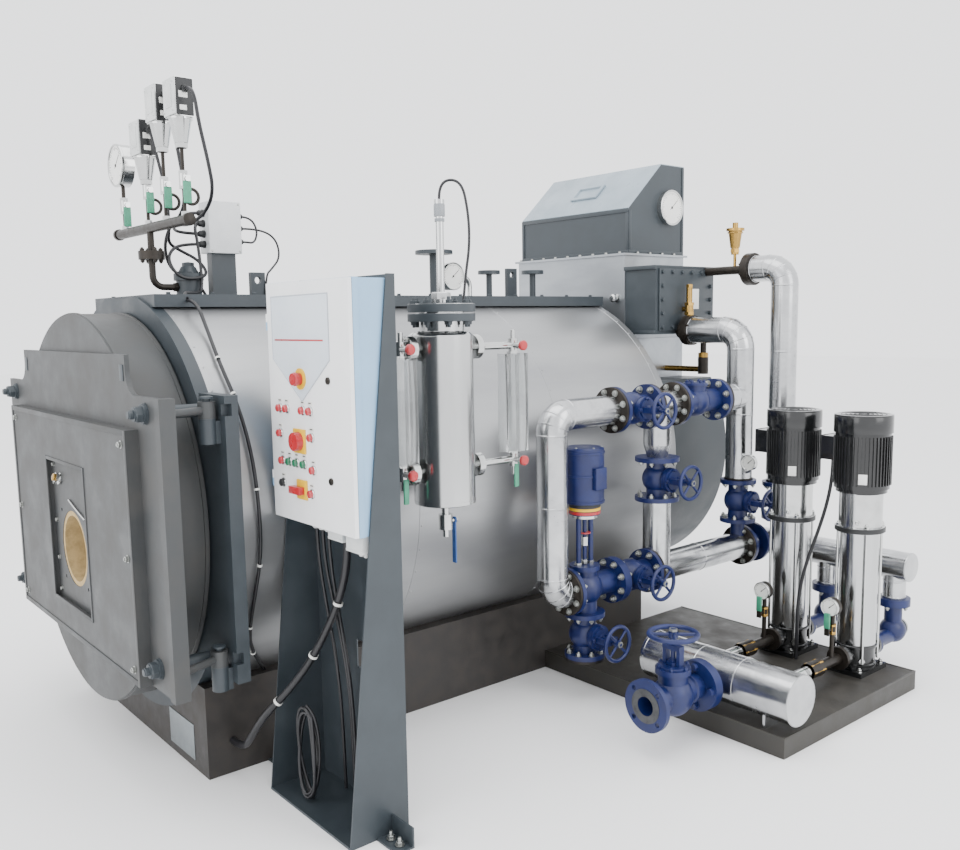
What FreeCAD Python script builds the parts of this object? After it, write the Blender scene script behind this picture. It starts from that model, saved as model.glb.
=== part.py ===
"""Horizontal fire-tube boiler with its front door, control panel, level column,
economizer and feed pump skid.

Units are millimetres. X runs across the boiler, +Y from the front door to the rear,
+Z up. The origin is on the floor, under the shell's axis, at mid length of the base.
"""
import FreeCAD
import Part

import math
import os

V = FreeCAD.Vector

# ---- driving dimensions ------------------------------------------------------------
# shell and base
SHELL_R = 748.0            # outer radius of the jacket
SHELL_Z = 865.0            # height of the shell's axis
SHELL_FRONT = -1052.0      # front end of the jacket
SHELL_REAR = 1090.0        # rear end of the jacket
LAGGING = 92.0             # insulation with the pressure shell behind it
PLATE = 20.0               # tube plates
RING_T = 43.0              # depth of the front ring
RING_INNER = 560.0
BASE_HALF = 562.0          # half width of the base
BASE_H = 315.0
BASE_FRONT = -1095.0
BASE_REAR = 1075.0
BASE_PLATE = 10.0
SADDLE_YS = (-620.0, 0.0, 620.0)
SADDLE_T = 14.0
SADDLE_FOOT = 120.0        # width of a saddle's foot
FURNACE_Z = 722.0          # height of the furnace's axis
FURNACE_R = 300.0
FURNACE_T = 16.0
FURNACE_LEN = 1750.0

# smokebox, duct, economizer and hood
SMOKEBOX_R = 650.0
SMOKEBOX_REAR = 1600.0
SMOKEBOX_TOP = 1205.0
ECO_HALF = 375.0
ECO_FRONT = 1160.0
ECO_REAR = 1600.0
ECO_BOTTOM = 1392.0
ECO_TOP = 1808.0
ECO_FLANGE = 14.0          # overhang of the economizer's flange frames
ECO_FLANGE_T = 10.0
HEADER_OUT = 185.0         # how far the water header box stands off the economizer
HEADER_FRONT = 1165.0
HEADER_REAR = 1600.0
HEADER_BOTTOM = 1424.0
HEADER_TOP = 1742.0
HOOD_HALF = 372.0
HOOD_FRONT = 1188.0
HOOD_SLOPE_Z = 2018.0      # where the sloping lid starts
HOOD_RIDGE_Y = 1425.0
HOOD_TOP = 2240.0
HOOD_DIAL_Y = 1480.0
HOOD_DIAL_Z = 2036.0

# deck on the boiler
DECK_HALF = 298.0
DECK_FRONT = -1086.0
DECK_REAR = 1093.0
DECK_TOP = 1605.0
DECK_DEPTH = 43.0
DECK_T = 8.0
LUGS = ((-560.0, 95.0), (769.0, 140.0))   # lifting lugs: Y and height

# front door, hung on the right
DOOR_R = 680.0
HINGE_X = 770.0            # the front door's hinge axis
DOOR_GAP = 6.0             # door to front ring
DOOR_FACE = -1273.0        # front face of the drum
DRUM_T = 8.0
STRONG_T = 15.0            # strongback plate
STRONG_TOP = 1415.0
STRONG_TOP_HALF = 558.0
EAR_TOP = 1295.0
EAR_BOTTOM = 401.0
EAR_HALF = HINGE_X + 27.0
EAR_FILLET = 70.0
BEAM_W = 37.0              # hinge beam along the strongback's right edge
BEAM_DEPTH = 48.0
BURNER_HALF = 640.0
BURNER_TOP = 1195.0
BURNER_BOTTOM = 403.0
BURNER_T = 38.0
RECESS_HALF = 215.0
RECESS_TOP = 1035.0
RECESS_BOTTOM = 509.0
RECESS_DEPTH = 18.0
THROAT_R = 135.0           # burner throat
BURNER_PCD = 350.0
BURNER_HOLE_R = 6.5
HINGE_GAP = 7.0            # knuckle to hinge plate
KNUCKLE_R = 26.0
KNUCKLE_H = 50.0
PIN_R = 12.0
PIN_CLEAR = 0.05
ARM_CLEAR = 6.0            # hinge arm to the notch above and below it
ARM_RELIEF = 22.0          # depth of that notch
HINGE_ZS = (487.0, 1250.0) # mid height of the moving knuckles
FIXED_KNUCKLE_H = 76.0
SIDE_PLATE_IN = 640.0      # hinge plate and its twin on the closing side
SIDE_PLATE_OUT = HINGE_X + 52.0
SIDE_PLATE_TOP = 1292.0
SIDE_PLATE_BOTTOM = 408.0
CLAMP_X = 706.0
CLAMP_ZS = (475.0, 1246.0)
CLAMP_R = 11.0

# steam nozzle and instruments at the front of the deck
NOZZLE_Y = -837.0
NOZZLE_R = 46.0
NOZZLE_BAND_R = 54.0
STUB_MAIN_Y = 309.0
STUB_MAIN_H = 207.0        # stub heights above the deck
MANIFOLD_Y = -972.0
MANIFOLD_Z = DECK_TOP + 245.0
MANIFOLD_R = 18.0
MANIFOLD_X0 = -322.0
MANIFOLD_X1 = 352.0
SUPPLY_R = 12.0
SUPPLY_Z = DECK_TOP + 35.0
SIPHON_R = 6.0
SIPHON_LOOP = 25.0
SWITCH_XS = (-10.0, 155.0, 320.0)
SWITCH_BOTTOMS = (DECK_TOP + 495.0, DECK_TOP + 585.0, DECK_TOP + 575.0)
SWITCH_W = 88.0
SWITCH_D = 62.0
SWITCH_H = 122.0
SWITCH_STEM = 96.0
COCK_Z = MANIFOLD_Z + 131.0
GAUGE_X = -247.0
GAUGE_Z = MANIFOLD_Z + 250.0
GAUGE_R = 78.0
GAUGE_T = 44.0

# junction box on its post
JBOX_Y0 = -765.0
JBOX_Y1 = -640.0
JBOX_Z0 = DECK_TOP + 163.0
JBOX_Z1 = DECK_TOP + 351.0
JBOX_HALF = 42.0
POST_Y0 = -752.0
POST_Y1 = -656.0
POST_HALF = 22.0

# control panel and its stand
STAND_X0 = 753.0
STAND_X1 = 1238.0
STAND_T = 5.0
STAND_REAR = -765.0
STAND_TOP = 1634.0
STAND_TOP_FRONT = -793.0
STAND_FOOT_FRONT = -969.0
CAB_FRONT = -914.0
CAB_Z0 = 903.0
CAB_Z1 = 1622.0
CAB_WALL = 2.5
CAB_DOOR_T = 18.0          # door and its seal
CAB_GAP = 3.0              # cabinet to stand flanges
CAB_KNUCKLE_R = 5.0
CAB_KNUCKLE_H = 25.0
CAB_PIN_R = 2.5
GLAND_BOX_H = 34.0
LAMPS = ((825, 1245), (867, 1245), (964, 1245), (1007, 1245), (822, 1168), (1010, 1168), (829, 1084),
         (873, 1084), (916, 1084), (962, 1084), (1015, 1072), (829, 1015), (1001, 1000))
STAND_FOOT_T = 8.0

# level column
BOTTLE_X = 920.0
BOTTLE_Y = -360.0
BOTTLE_R = 104.0
BOTTLE_Z0 = 890.0
BOTTLE_Z1 = 1455.0
NECK_R = 75.0
NECK_Z = 1500.0
BOTTLE_FLANGE_R = 112.0
BOTTLE_FLANGE_Z = 1557.0
PROBE_R = 13.0
PROBE_Z = 1842.0
PROBE_CAP_Z = 1895.0
COCK_ZS = (1005.0, 1412.0)
GLASS_R_Y = -45.0          # right gauge glass
GLASS_L_Y = -530.0         # left gauge glass
GLASS_W = 30.0
DRAIN_COCK_Z = 822.0

# feed pump skid and pipework
SKID_X1 = 1735.0
SKID_Y0 = 445.0
SKID_Y1 = 1380.0
SKID_H = 75.0
PUMP_XS = (1250.0, 1555.0)
PUMP_Y = 1236.0
PUMP_PORT_Z = 148.0
PUMP_PORT_HALF = 125.0
PUMP_BODY_R = 74.0
PUMP_SLEEVE_Z0 = 190.0
PUMP_RING_Z = 646.0
PUMP_HEAD_Z = 806.0
MOTOR_R = 104.0
MOTOR_TOP = 1112.0
HEADER_Y = 525.0           # suction header along the skid's near edge
HEADER_Z = 190.0
HEADER_R = 90.0
HEADER_X0 = 1104.0
HEADER_X1 = 1744.0
LINE_X = 900.0             # plane of the feed pipework beside the shell
LOW_Z = 450.0              # lower feed line
HIGH_Z = 1140.0            # upper feed line
CLAD_R = 60.0              # aluminium cladding of the feed pipes
PIPE_R = 38.0              # bare pipe
FLANGE_R = 92.0
FLANGE_T = 18.0
RISER_Y = 165.0
BYPASS_Y = 775.0
FEED_Y = 1350.0            # riser to the economizer's lower flange
UPPER_X = 995.0            # riser from the economizer's upper flange
DISCHARGE_Y = 1540.0       # discharge manifold behind the pumps
MAIN_X = 1420.0            # main globe valve on the suction header
MAIN_Y0 = 96.0
MAIN_FACE_TO_FACE = 290.0
MAIN_BORE_R = 33.0
MAIN_BORE_DEPTH = 110.0
MAIN_PCD = 145.0
MAIN_HOLE_R = 9.0
MAIN_WHEEL_Z = 411.0
WHEEL_R = 74.0
MAIN_WHEEL_R = 92.0
WHEEL_OFF = 175.0          # a side handwheel's distance from its valve's centre
CONTROL_Y = 300.0          # control valve, near its inlet
ACTUATOR_Z = 745.0
ACTUATOR_TOP = 1002.0
DRAIN_Z = 262.0
STOP_Y0 = 498.0            # lower stop valve, from and to
STOP_Y1 = 715.0
UPPER_STOP_Y0 = 498.0
CHECK_Y0 = 880.0           # check valve on the upper line, from and to
CHECK_Y1 = 1170.0
BYPASS_Z0 = 742.0          # bypass valve, from and to
BYPASS_Z1 = 926.0
LINE_VALVE_Y0 = 1372.0     # valve between the lower line and the pumps' manifold
FEED_Z = 1440.0            # economizer feed flange
FEED_VALVE_BOTTOM = 566.0  # valve at the foot of the feed riser, from and to
FEED_VALVE_TOP = 762.0
OUTLET_Y = 1540.0          # economizer outlet pipe
OUTLET_Z = 1718.0
OUTLET_FLANGE_X = 800.0
OUTLET_VALVE_TOP = 740.0
VENT_X = 725.0
SAFETY_Y = 1360.0
DROP_X = 600.0
DROP_Y = 1475.0
DISCHARGE_VALVE_TOP = 310.0

# cords
CABLE_ROUTE_R = 768.0      # radius of the jacket cable's route points
COIL_X = 920.0
COIL_Y = -920.0
COIL_W = 150.0
COIL_H = 325.0
COIL_SECTION = 36.0

FIT = 0.3                  # seat clearance

# derived
ECO_FACE = ECO_HALF + HEADER_OUT
STOP_Y = (STOP_Y0 + STOP_Y1) / 2
CHECK_Y = (CHECK_Y0 + CHECK_Y1) / 2
BYPASS_VALVE_Z = (BYPASS_Z0 + BYPASS_Z1) / 2
FEED_VALVE_Z = (FEED_VALVE_BOTTOM + FEED_VALVE_TOP) / 2


# ---- shape helpers -----------------------------------------------------------------
def box(x0, x1, y0, y1, z0, z1):
    return Part.makeBox(x1 - x0, y1 - y0, z1 - z0, V(x0, y0, z0))


def rod_x(y, z, r, x0, x1):
    return Part.makeCylinder(r, x1 - x0, V(x0, y, z), V(1, 0, 0))


def rod_y(x, z, r, y0, y1):
    return Part.makeCylinder(r, y1 - y0, V(x, y0, z), V(0, 1, 0))


def rod_z(x, y, r, z0, z1):
    return Part.makeCylinder(r, z1 - z0, V(x, y, z0), V(0, 0, 1))


def cone_z(x, y, r0, r1, z0, z1):
    return Part.makeCone(r0, r1, z1 - z0, V(x, y, z0), V(0, 0, 1))


def fused(shapes):
    shapes = list(shapes)
    if len(shapes) == 1:
        return shapes[0]
    return shapes[0].multiFuse(shapes[1:]).removeSplitter()


def prism(points, direction):
    """A closed outline of points, extruded along a vector."""
    outline = [V(*p) for p in points]
    outline.append(outline[0])
    return Part.Face(Part.makePolygon(outline)).extrude(direction)


def bent_path(points, radii):
    """Straight runs through the points, joined by tangent arcs of the given radii."""
    edges = []
    last = V(*points[0])
    for i in range(1, len(points) - 1):
        corner = V(*points[i])
        back = (V(*points[i - 1]) - corner).normalize()
        on = (V(*points[i + 1]) - corner).normalize()
        turn = math.pi - back.getAngle(on)
        reach = radii[i - 1] * math.tan(turn / 2.0)
        start = corner + back * reach
        end = corner + on * reach
        bisector = (back + on).normalize()
        middle = corner + bisector * (radii[i - 1] / math.cos(turn / 2.0) - radii[i - 1])
        if (start - last).Length > 1e-6:
            edges.append(Part.LineSegment(last, start).toShape())
        edges.append(Part.Arc(start, middle, end).toShape())
        last = end
    edges.append(Part.LineSegment(last, V(*points[-1])).toShape())
    return Part.Wire(edges)


def bent_rod(points, r, bend):
    """A round bar or pipe's outside along bent runs."""
    radii = [bend] * (len(points) - 2)
    path = bent_path(points, radii)
    start = V(*points[0])
    along = V(*points[1]) - start
    ring = Part.Wire([Part.makeCircle(r, start, along)])
    return path.makePipeShell([ring], True, True)


def cord_rod(name, points, diameter):
    """A cord's tube: each arc is as large as its two runs allow."""
    radii = []
    for i in range(1, len(points) - 1):
        back = V(*points[i - 1]) - V(*points[i])
        on = V(*points[i + 1]) - V(*points[i])
        turn = math.pi - back.getAngle(on)
        radii.append(0.45 * min(back.Length, on.Length) / math.tan(turn / 2.0))
    path = bent_path(points, radii)
    start = V(*points[0])
    ring = Part.Wire([Part.makeCircle(diameter / 2.0, start, V(*points[1]) - start)])
    solid = path.makePipeShell([ring], True, True)
    expected = math.pi * diameter ** 2 / 4.0 * path.Length
    print(name, "length", round(path.Length), "radii", [round(r) for r in radii],
          "volume ratio", round(solid.Volume / expected, 4))
    return solid


# ---- boiler ------------------------------------------------------------------------
def shell_solid(r=SHELL_R, y0=SHELL_FRONT, y1=SHELL_REAR):
    return rod_y(0, SHELL_Z, r, y0, y1)


def under_deck():
    """The space above the shell's flat, where the deck's plate lies."""
    return box(-SHELL_R, SHELL_R, DECK_FRONT - 100, DECK_REAR + 100, DECK_TOP - DECK_T, DECK_TOP + 200)


def base_sides():
    """Long side plates with the sloping ledge folded inwards at their top."""
    sides = []
    for s in (-1, 1):
        wall = box(BASE_HALF - BASE_PLATE, BASE_HALF, BASE_FRONT, BASE_REAR, 0, BASE_H)
        ledge = box(470, BASE_HALF, BASE_FRONT, BASE_REAR, BASE_H - BASE_PLATE, BASE_H)
        side = fused([wall, ledge.cut(shell_solid(SHELL_R + FIT, BASE_FRONT, BASE_REAR))])
        if s < 0:
            side = side.mirror(V(0, 0, 0), V(1, 0, 0))
        sides.append(side)
    return Part.makeCompound(sides)


def base_cross_plates():
    """End plates and saddles, cut to the shell, each saddle on a flat foot."""
    inner = BASE_HALF - BASE_PLATE
    top = BASE_H - BASE_PLATE
    plates = [box(-inner, inner, BASE_FRONT, BASE_FRONT + BASE_PLATE, 0, top),
              box(-inner, inner, BASE_REAR - BASE_PLATE, BASE_REAR, 0, top)]
    for y in SADDLE_YS:
        web = box(-inner, inner, y - SADDLE_T / 2, y + SADDLE_T / 2, 0, top)
        foot = box(-inner, inner, y - SADDLE_FOOT / 2, y + SADDLE_FOOT / 2, 0, 12)
        plates.append(fused([web, foot]))
    shell = shell_solid(SHELL_R, BASE_FRONT - 50, BASE_REAR + 50)
    return Part.makeCompound([plate.cut(shell) for plate in plates])


def jacket():
    """Aluminium jacket over the insulation, cut flat where the deck lies."""
    body = shell_solid()
    body = body.cut(shell_solid(SHELL_R - LAGGING, SHELL_FRONT - 1, SHELL_REAR + 1))
    return body.cut(under_deck())


def front_ring():
    ring = shell_solid(SHELL_R, SHELL_FRONT - RING_T, SHELL_FRONT)
    ring = ring.cut(shell_solid(RING_INNER, SHELL_FRONT - RING_T - 1, SHELL_FRONT + 1))
    return ring.cut(under_deck())


def tube_plates():
    """Front plate round the furnace mouth, and the rear plate."""
    r = SHELL_R - LAGGING
    front = shell_solid(r, SHELL_FRONT, SHELL_FRONT + PLATE)
    front = front.cut(rod_y(0, FURNACE_Z, FURNACE_R, SHELL_FRONT - 1, SHELL_FRONT + PLATE + 1))
    return Part.makeCompound([front, shell_solid(r, SHELL_REAR - PLATE, SHELL_REAR)])


def furnace_tube():
    rear = SHELL_FRONT + FURNACE_LEN
    tube = rod_y(0, FURNACE_Z, FURNACE_R, SHELL_FRONT, rear)
    return tube.cut(rod_y(0, FURNACE_Z, FURNACE_R - FURNACE_T, SHELL_FRONT - 1, rear - PLATE))


def smokebox():
    """Flat-topped smokebox behind the shell."""
    body = shell_solid(SMOKEBOX_R, SHELL_REAR, SMOKEBOX_REAR)
    return body.cut(box(-SHELL_R, SHELL_R, SHELL_REAR - 1, SMOKEBOX_REAR + 1, SMOKEBOX_TOP, 3 * SHELL_R))


def deck():
    """Channel-edged deck along the boiler's top with its two lifting lugs."""
    slab = box(-DECK_HALF, DECK_HALF, DECK_FRONT, DECK_REAR, DECK_TOP - DECK_DEPTH, DECK_TOP)
    below = shell_solid(SHELL_R, DECK_FRONT - 1, DECK_REAR + 1)
    pieces = [slab.cut(below.cut(under_deck()))]
    for y, h in LUGS:
        lug = box(-10, 10, y - 30, y + 30, DECK_TOP - 1, DECK_TOP + h)
        pieces.append(lug.cut(rod_x(y, DECK_TOP + h - 30, 14, -11, 11)))
    return fused(pieces)


def arm_relief(z):
    """Notch in the hinge plate's edge that the door's hinge arm swings into."""
    reach = PIN_R + ARM_CLEAR
    return box(HINGE_X + KNUCKLE_R, SIDE_PLATE_OUT + 1, SHELL_FRONT - RING_T - 1,
               SHELL_FRONT - RING_T + ARM_RELIEF, z - reach, z + reach)


def hinge_plates():
    """Vertical plates beside the ring: the hinge plate, and its twin with the clamp lugs."""
    ring = shell_solid(SHELL_R, SHELL_FRONT - RING_T - 1, SHELL_FRONT + 1)
    hinge_y = SHELL_FRONT - RING_T - HINGE_GAP - KNUCKLE_R
    out = []
    for s in (1, -1):
        plate = box(SIDE_PLATE_IN, SIDE_PLATE_OUT, SHELL_FRONT - RING_T, SHELL_FRONT,
                    SIDE_PLATE_BOTTOM, SIDE_PLATE_TOP).cut(ring)
        pieces = [plate]
        if s > 0:
            for z in HINGE_ZS:
                top = z - KNUCKLE_H / 2 - FIT
                pieces.append(rod_z(HINGE_X, hinge_y, KNUCKLE_R, top - FIXED_KNUCKLE_H, top))
                pieces.append(box(HINGE_X - 18, HINGE_X + 18, hinge_y,
                                  SHELL_FRONT - RING_T, top - FIXED_KNUCKLE_H, top - 8))
                pieces.append(rod_z(HINGE_X, hinge_y, PIN_R, top - 1, z + KNUCKLE_H / 2 + 8))
        plate = fused(pieces)
        if s > 0:
            for z in HINGE_ZS:
                plate = plate.cut(arm_relief(z))
        if s < 0:
            plate = plate.mirror(V(0, 0, 0), V(1, 0, 0))
        out.append(plate)
    return Part.makeCompound(out)


# ---- front door --------------------------------------------------------------------
DOOR_BACK = SHELL_FRONT - RING_T - DOOR_GAP
STRONG_FACE = DOOR_FACE - STRONG_T
BURNER_FACE = STRONG_FACE - BURNER_T
HINGE_Y = SHELL_FRONT - RING_T - HINGE_GAP - KNUCKLE_R


def throat(y0, y1):
    return rod_y(0, FURNACE_Z, THROAT_R, y0, y1)


def door_drum():
    drum = rod_y(0, SHELL_Z, DOOR_R, DOOR_FACE, DOOR_BACK)
    core = rod_y(0, SHELL_Z, DOOR_R - DRUM_T, DOOR_FACE + DRUM_T, DOOR_BACK + 1)
    return drum.cut(core).cut(throat(DOOR_FACE - 1, DOOR_BACK + 1))


def door_refractory():
    core = rod_y(0, SHELL_Z, DOOR_R - DRUM_T, DOOR_FACE + DRUM_T, DOOR_BACK)
    return core.cut(throat(DOOR_FACE, DOOR_BACK + 1))


def strongback():
    """Plate across the drum with ears out to the hinge beam and the clamps."""
    f = EAR_FILLET
    right = [V(STRONG_TOP_HALF, 0, STRONG_TOP), V(STRONG_TOP_HALF, 0, EAR_TOP + f),
             V(STRONG_TOP_HALF + f, 0, EAR_TOP), V(EAR_HALF, 0, EAR_TOP), V(EAR_HALF, 0, EAR_BOTTOM)]
    left = [V(-p.x, 0, p.z) for p in reversed(right)]
    middle = f * (1 - math.sqrt(0.5))
    arcs = {1: V(STRONG_TOP_HALF + middle, 0, EAR_TOP + middle),
            7: V(-STRONG_TOP_HALF - middle, 0, EAR_TOP + middle)}
    corners = right + left
    edges = []
    for i, start in enumerate(corners):
        end = corners[(i + 1) % len(corners)]
        if i in arcs:
            edges.append(Part.Arc(start, arcs[i], end).toShape())
        else:
            edges.append(Part.LineSegment(start, end).toShape())
    plate = Part.Face(Part.Wire(edges)).extrude(V(0, STRONG_T, 0))
    plate.translate(V(0, STRONG_FACE, 0))
    beam = box(EAR_HALF, EAR_HALF + BEAM_W, STRONG_FACE - 8, STRONG_FACE - 8 + BEAM_DEPTH,
               EAR_BOTTOM, EAR_TOP)
    pieces = [plate.cut(throat(STRONG_FACE - 1, DOOR_FACE + 1)), beam]
    for z in HINGE_ZS:
        pieces.append(hinge_arm(z))
    return fused(pieces)


def hinge_arm(z):
    """Eye on the hinge pin with its rod back to the beam."""
    beam_x = EAR_HALF + BEAM_W / 2
    beam_y = STRONG_FACE - 8 + BEAM_DEPTH - 10
    along = V(HINGE_X - beam_x, HINGE_Y - beam_y, 0)
    rod = Part.makeCylinder(PIN_R, along.Length, V(beam_x, beam_y, z), along)
    eye = rod_z(HINGE_X, HINGE_Y, KNUCKLE_R, z - KNUCKLE_H / 2, z + KNUCKLE_H / 2)
    bore = rod_z(HINGE_X, HINGE_Y, PIN_R + PIN_CLEAR, z - KNUCKLE_H, z + KNUCKLE_H)
    return rod.fuse(eye).cut(bore)


def burner_plate():
    plate = box(-BURNER_HALF, BURNER_HALF, BURNER_FACE, STRONG_FACE, BURNER_BOTTOM, BURNER_TOP)
    recess = box(-RECESS_HALF, RECESS_HALF, BURNER_FACE - 1, BURNER_FACE + RECESS_DEPTH,
                 RECESS_BOTTOM, RECESS_TOP)
    plate = plate.cut(recess).cut(throat(BURNER_FACE - 1, STRONG_FACE + 1))
    for i in range(4):
        turn = math.radians(45 + 90 * i)
        x = BURNER_PCD / 2 * math.cos(turn)
        z = FURNACE_Z + BURNER_PCD / 2 * math.sin(turn)
        plate = plate.cut(rod_y(x, z, BURNER_HOLE_R, BURNER_FACE, STRONG_FACE + 1))
    return plate


def door_clamps():
    """Clamp studs through the strongback's ears, with their nuts and washers."""
    out = []
    for x in (-CLAMP_X, CLAMP_X):
        for z in CLAMP_ZS:
            washer = rod_y(x, z, 30, STRONG_FACE - 12, STRONG_FACE)
            nut = rod_y(x, z, 21, STRONG_FACE - 36, STRONG_FACE - 12)
            stud = rod_y(x, z, CLAMP_R, STRONG_FACE - 52, STRONG_FACE - 36)
            sleeve = rod_y(x, z, 20, DOOR_FACE, DOOR_BACK)
            out.append(fused([washer, nut, stud]))
            out.append(sleeve.cut(rod_y(0, SHELL_Z, DOOR_R + FIT, DOOR_FACE, DOOR_BACK)))
    return Part.makeCompound(out)


# ---- flue side: duct, economizer, hood ---------------------------------------------
def flue_duct():
    return box(-ECO_HALF, ECO_HALF, ECO_FRONT, ECO_REAR, SMOKEBOX_TOP, ECO_BOTTOM)


def economizer_body():
    f = ECO_FLANGE
    body = box(-ECO_HALF, ECO_HALF, ECO_FRONT, ECO_REAR, ECO_BOTTOM, ECO_TOP)
    low = box(-ECO_HALF - f, ECO_HALF + f, ECO_FRONT - f, ECO_REAR + f, ECO_BOTTOM,
              ECO_BOTTOM + ECO_FLANGE_T)
    high = box(-ECO_HALF - f, ECO_HALF + f, ECO_FRONT - f, ECO_REAR + f, ECO_TOP - ECO_FLANGE_T, ECO_TOP)
    return fused([body, low, high])


def economizer_header():
    return box(ECO_HALF, ECO_FACE, HEADER_FRONT, HEADER_REAR, HEADER_BOTTOM, HEADER_TOP)


def flue_hood():
    profile = [(-HOOD_HALF, HOOD_FRONT, ECO_TOP), (-HOOD_HALF, HOOD_FRONT, HOOD_SLOPE_Z),
               (-HOOD_HALF, HOOD_RIDGE_Y, HOOD_TOP), (-HOOD_HALF, ECO_REAR, HOOD_TOP),
               (-HOOD_HALF, ECO_REAR, ECO_TOP)]
    return prism(profile, V(2 * HOOD_HALF, 0, 0))


def hood_thermometer():
    case = rod_x(HOOD_DIAL_Y, HOOD_DIAL_Z, 84, HOOD_HALF, HOOD_HALF + 24)
    return case


# ---- fittings on the deck ----------------------------------------------------------
def steam_nozzle():
    body = rod_z(0, NOZZLE_Y, NOZZLE_R, DECK_TOP, DECK_TOP + 60)
    band = rod_z(0, NOZZLE_Y, NOZZLE_BAND_R, DECK_TOP + 60, DECK_TOP + 85)
    crown = cone_z(0, NOZZLE_Y, 40, 26, DECK_TOP + 85, DECK_TOP + 111)
    return fused([body, band, crown])


def deck_stub(y, r, top, flange_r):
    return fused([rod_z(0, y, r, DECK_TOP, top), rod_z(0, y, flange_r, top - 14, top)])


def deck_nozzles():
    """Steam nozzle and the three blanked stubs behind it."""
    return Part.makeCompound([steam_nozzle(), deck_stub(STUB_MAIN_Y, 21, DECK_TOP + STUB_MAIN_H, 84),
                              deck_stub(631, 14, DECK_TOP + 125, 52),
                              deck_stub(910, 15, DECK_TOP + 131, 54)])


def deck_gauge():
    """Dial on a bent stem, standing on the deck behind the level column."""
    z = DECK_TOP + 97
    stem = bent_rod([(0, 512, DECK_TOP), (0, 512, z), (0, 442, z)], 11, 45)
    dial = rod_x(400, z, 62, -22, 22)
    return fused([stem, dial])


def instrument_manifold():
    """Manifold on its supply pipe from the steam nozzle, with the risers above it."""
    run = bent_rod([(0, NOZZLE_Y, SUPPLY_Z), (0, MANIFOLD_Y, SUPPLY_Z), (0, MANIFOLD_Y, MANIFOLD_Z)],
                   SUPPLY_R, 40).cut(rod_z(0, NOZZLE_Y, NOZZLE_R, DECK_TOP, DECK_TOP + 95))
    low = MANIFOLD_Z - 112
    pair = [rod_z(0, MANIFOLD_Y, 46, low, low + 15), rod_z(0, MANIFOLD_Y, 46, low + 15, low + 30)]
    bar = rod_x(MANIFOLD_Y, MANIFOLD_Z, MANIFOLD_R, MANIFOLD_X0, MANIFOLD_X1)
    risers = [siphon(x, bottom - SWITCH_STEM) for x, bottom in zip(SWITCH_XS, SWITCH_BOTTOMS)]
    stem = rod_z(GAUGE_X, MANIFOLD_Y, 7, MANIFOLD_Z, GAUGE_Z - GAUGE_R)
    return fused([run, bar, stem] + pair + risers)


def siphon(x, top):
    """Pigtail siphon: a riser, one full loop and the stem above it."""
    y = MANIFOLD_Y
    low = MANIFOLD_Z + MANIFOLD_R - 2
    loop_z = low + 62
    riser = rod_z(x, y, SIPHON_R, low, top)
    loop = Part.makeTorus(SIPHON_LOOP, SIPHON_R - 0.7, V(x, y + SIPHON_LOOP, loop_z), V(1, 0, 0))
    return fused([riser, loop])


def pressure_switches():
    out = []
    for x, bottom in zip(SWITCH_XS, SWITCH_BOTTOMS):
        case = box(x - SWITCH_W / 2, x + SWITCH_W / 2, MANIFOLD_Y - SWITCH_D / 2,
                   MANIFOLD_Y + SWITCH_D / 2, bottom, bottom + SWITCH_H)
        bellows = cone_z(x, MANIFOLD_Y, 22, 38, bottom - 80, bottom)
        nut = rod_z(x, MANIFOLD_Y, 17, bottom - SWITCH_STEM, bottom - 80)
        out.append(fused([case, bellows, nut]))
    return Part.makeCompound(out)


def pressure_gauge():
    return rod_y(GAUGE_X, GAUGE_Z, GAUGE_R, MANIFOLD_Y - GAUGE_T / 2, MANIFOLD_Y + GAUGE_T / 2)


def dial_gauges():
    """The dials on the manifold, on the deck and on the hood."""
    return Part.makeCompound([pressure_gauge(), deck_gauge(), hood_thermometer()])


def instrument_cocks():
    """Cocks on the manifold's risers with their hanging levers."""
    out = []
    for x, z in ((GAUGE_X, COCK_Z - 29), (SWITCH_XS[0], COCK_Z), (SWITCH_XS[1], COCK_Z),
                 (SWITCH_XS[2], COCK_Z)):
        r = 7.0 if x == GAUGE_X else SIPHON_R
        body = rod_z(x, MANIFOLD_Y, 14, z - 20, z + 20)
        spindle = rod_x(MANIFOLD_Y, z, 6, x, x + 30)
        lever = box(x + 26, x + 31, MANIFOLD_Y - 12, MANIFOLD_Y + 12, z - 78, z + 12)
        cock = fused([body, spindle, lever])
        out.append(cock.cut(rod_z(x, MANIFOLD_Y, r, z - 30, z + 30)))
    return Part.makeCompound(out)


def junction_box():
    """Box with its glands, on a folded post welded to the deck."""
    pieces = [box(-POST_HALF, POST_HALF, POST_Y0, POST_Y1, DECK_TOP, JBOX_Z0),
              box(-JBOX_HALF, JBOX_HALF, JBOX_Y0, JBOX_Y1, JBOX_Z0, JBOX_Z1)]
    for z in (JBOX_Z0 + 32, JBOX_Z0 + 70, JBOX_Z0 + 108, JBOX_Z0 + 146):
        pieces.append(rod_y(0, z, 11, JBOX_Y0 - 20, JBOX_Y0))
    for z in (JBOX_Z0 + 47, JBOX_Z0 + 97, JBOX_Z0 + 142):
        pieces.append(rod_y(0, z, 11, JBOX_Y1, JBOX_Y1 + 20))
    return fused(pieces)


# ---- control panel -----------------------------------------------------------------
def stand_flange(x0, x1):
    outline = [(x0, STAND_REAR, 0), (x0, STAND_FOOT_FRONT, 0), (x0, STAND_TOP_FRONT, STAND_TOP),
               (x0, STAND_REAR, STAND_TOP)]
    return prism(outline, V(x1 - x0, 0, 0))


def foot_angle(x0, x1):
    """Steel angle on the floor, beside the stand."""
    return fused([box(x0, x1, -826, -820, 0, 62), box(x0, x1, -880, -820, 0, 6)])


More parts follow.
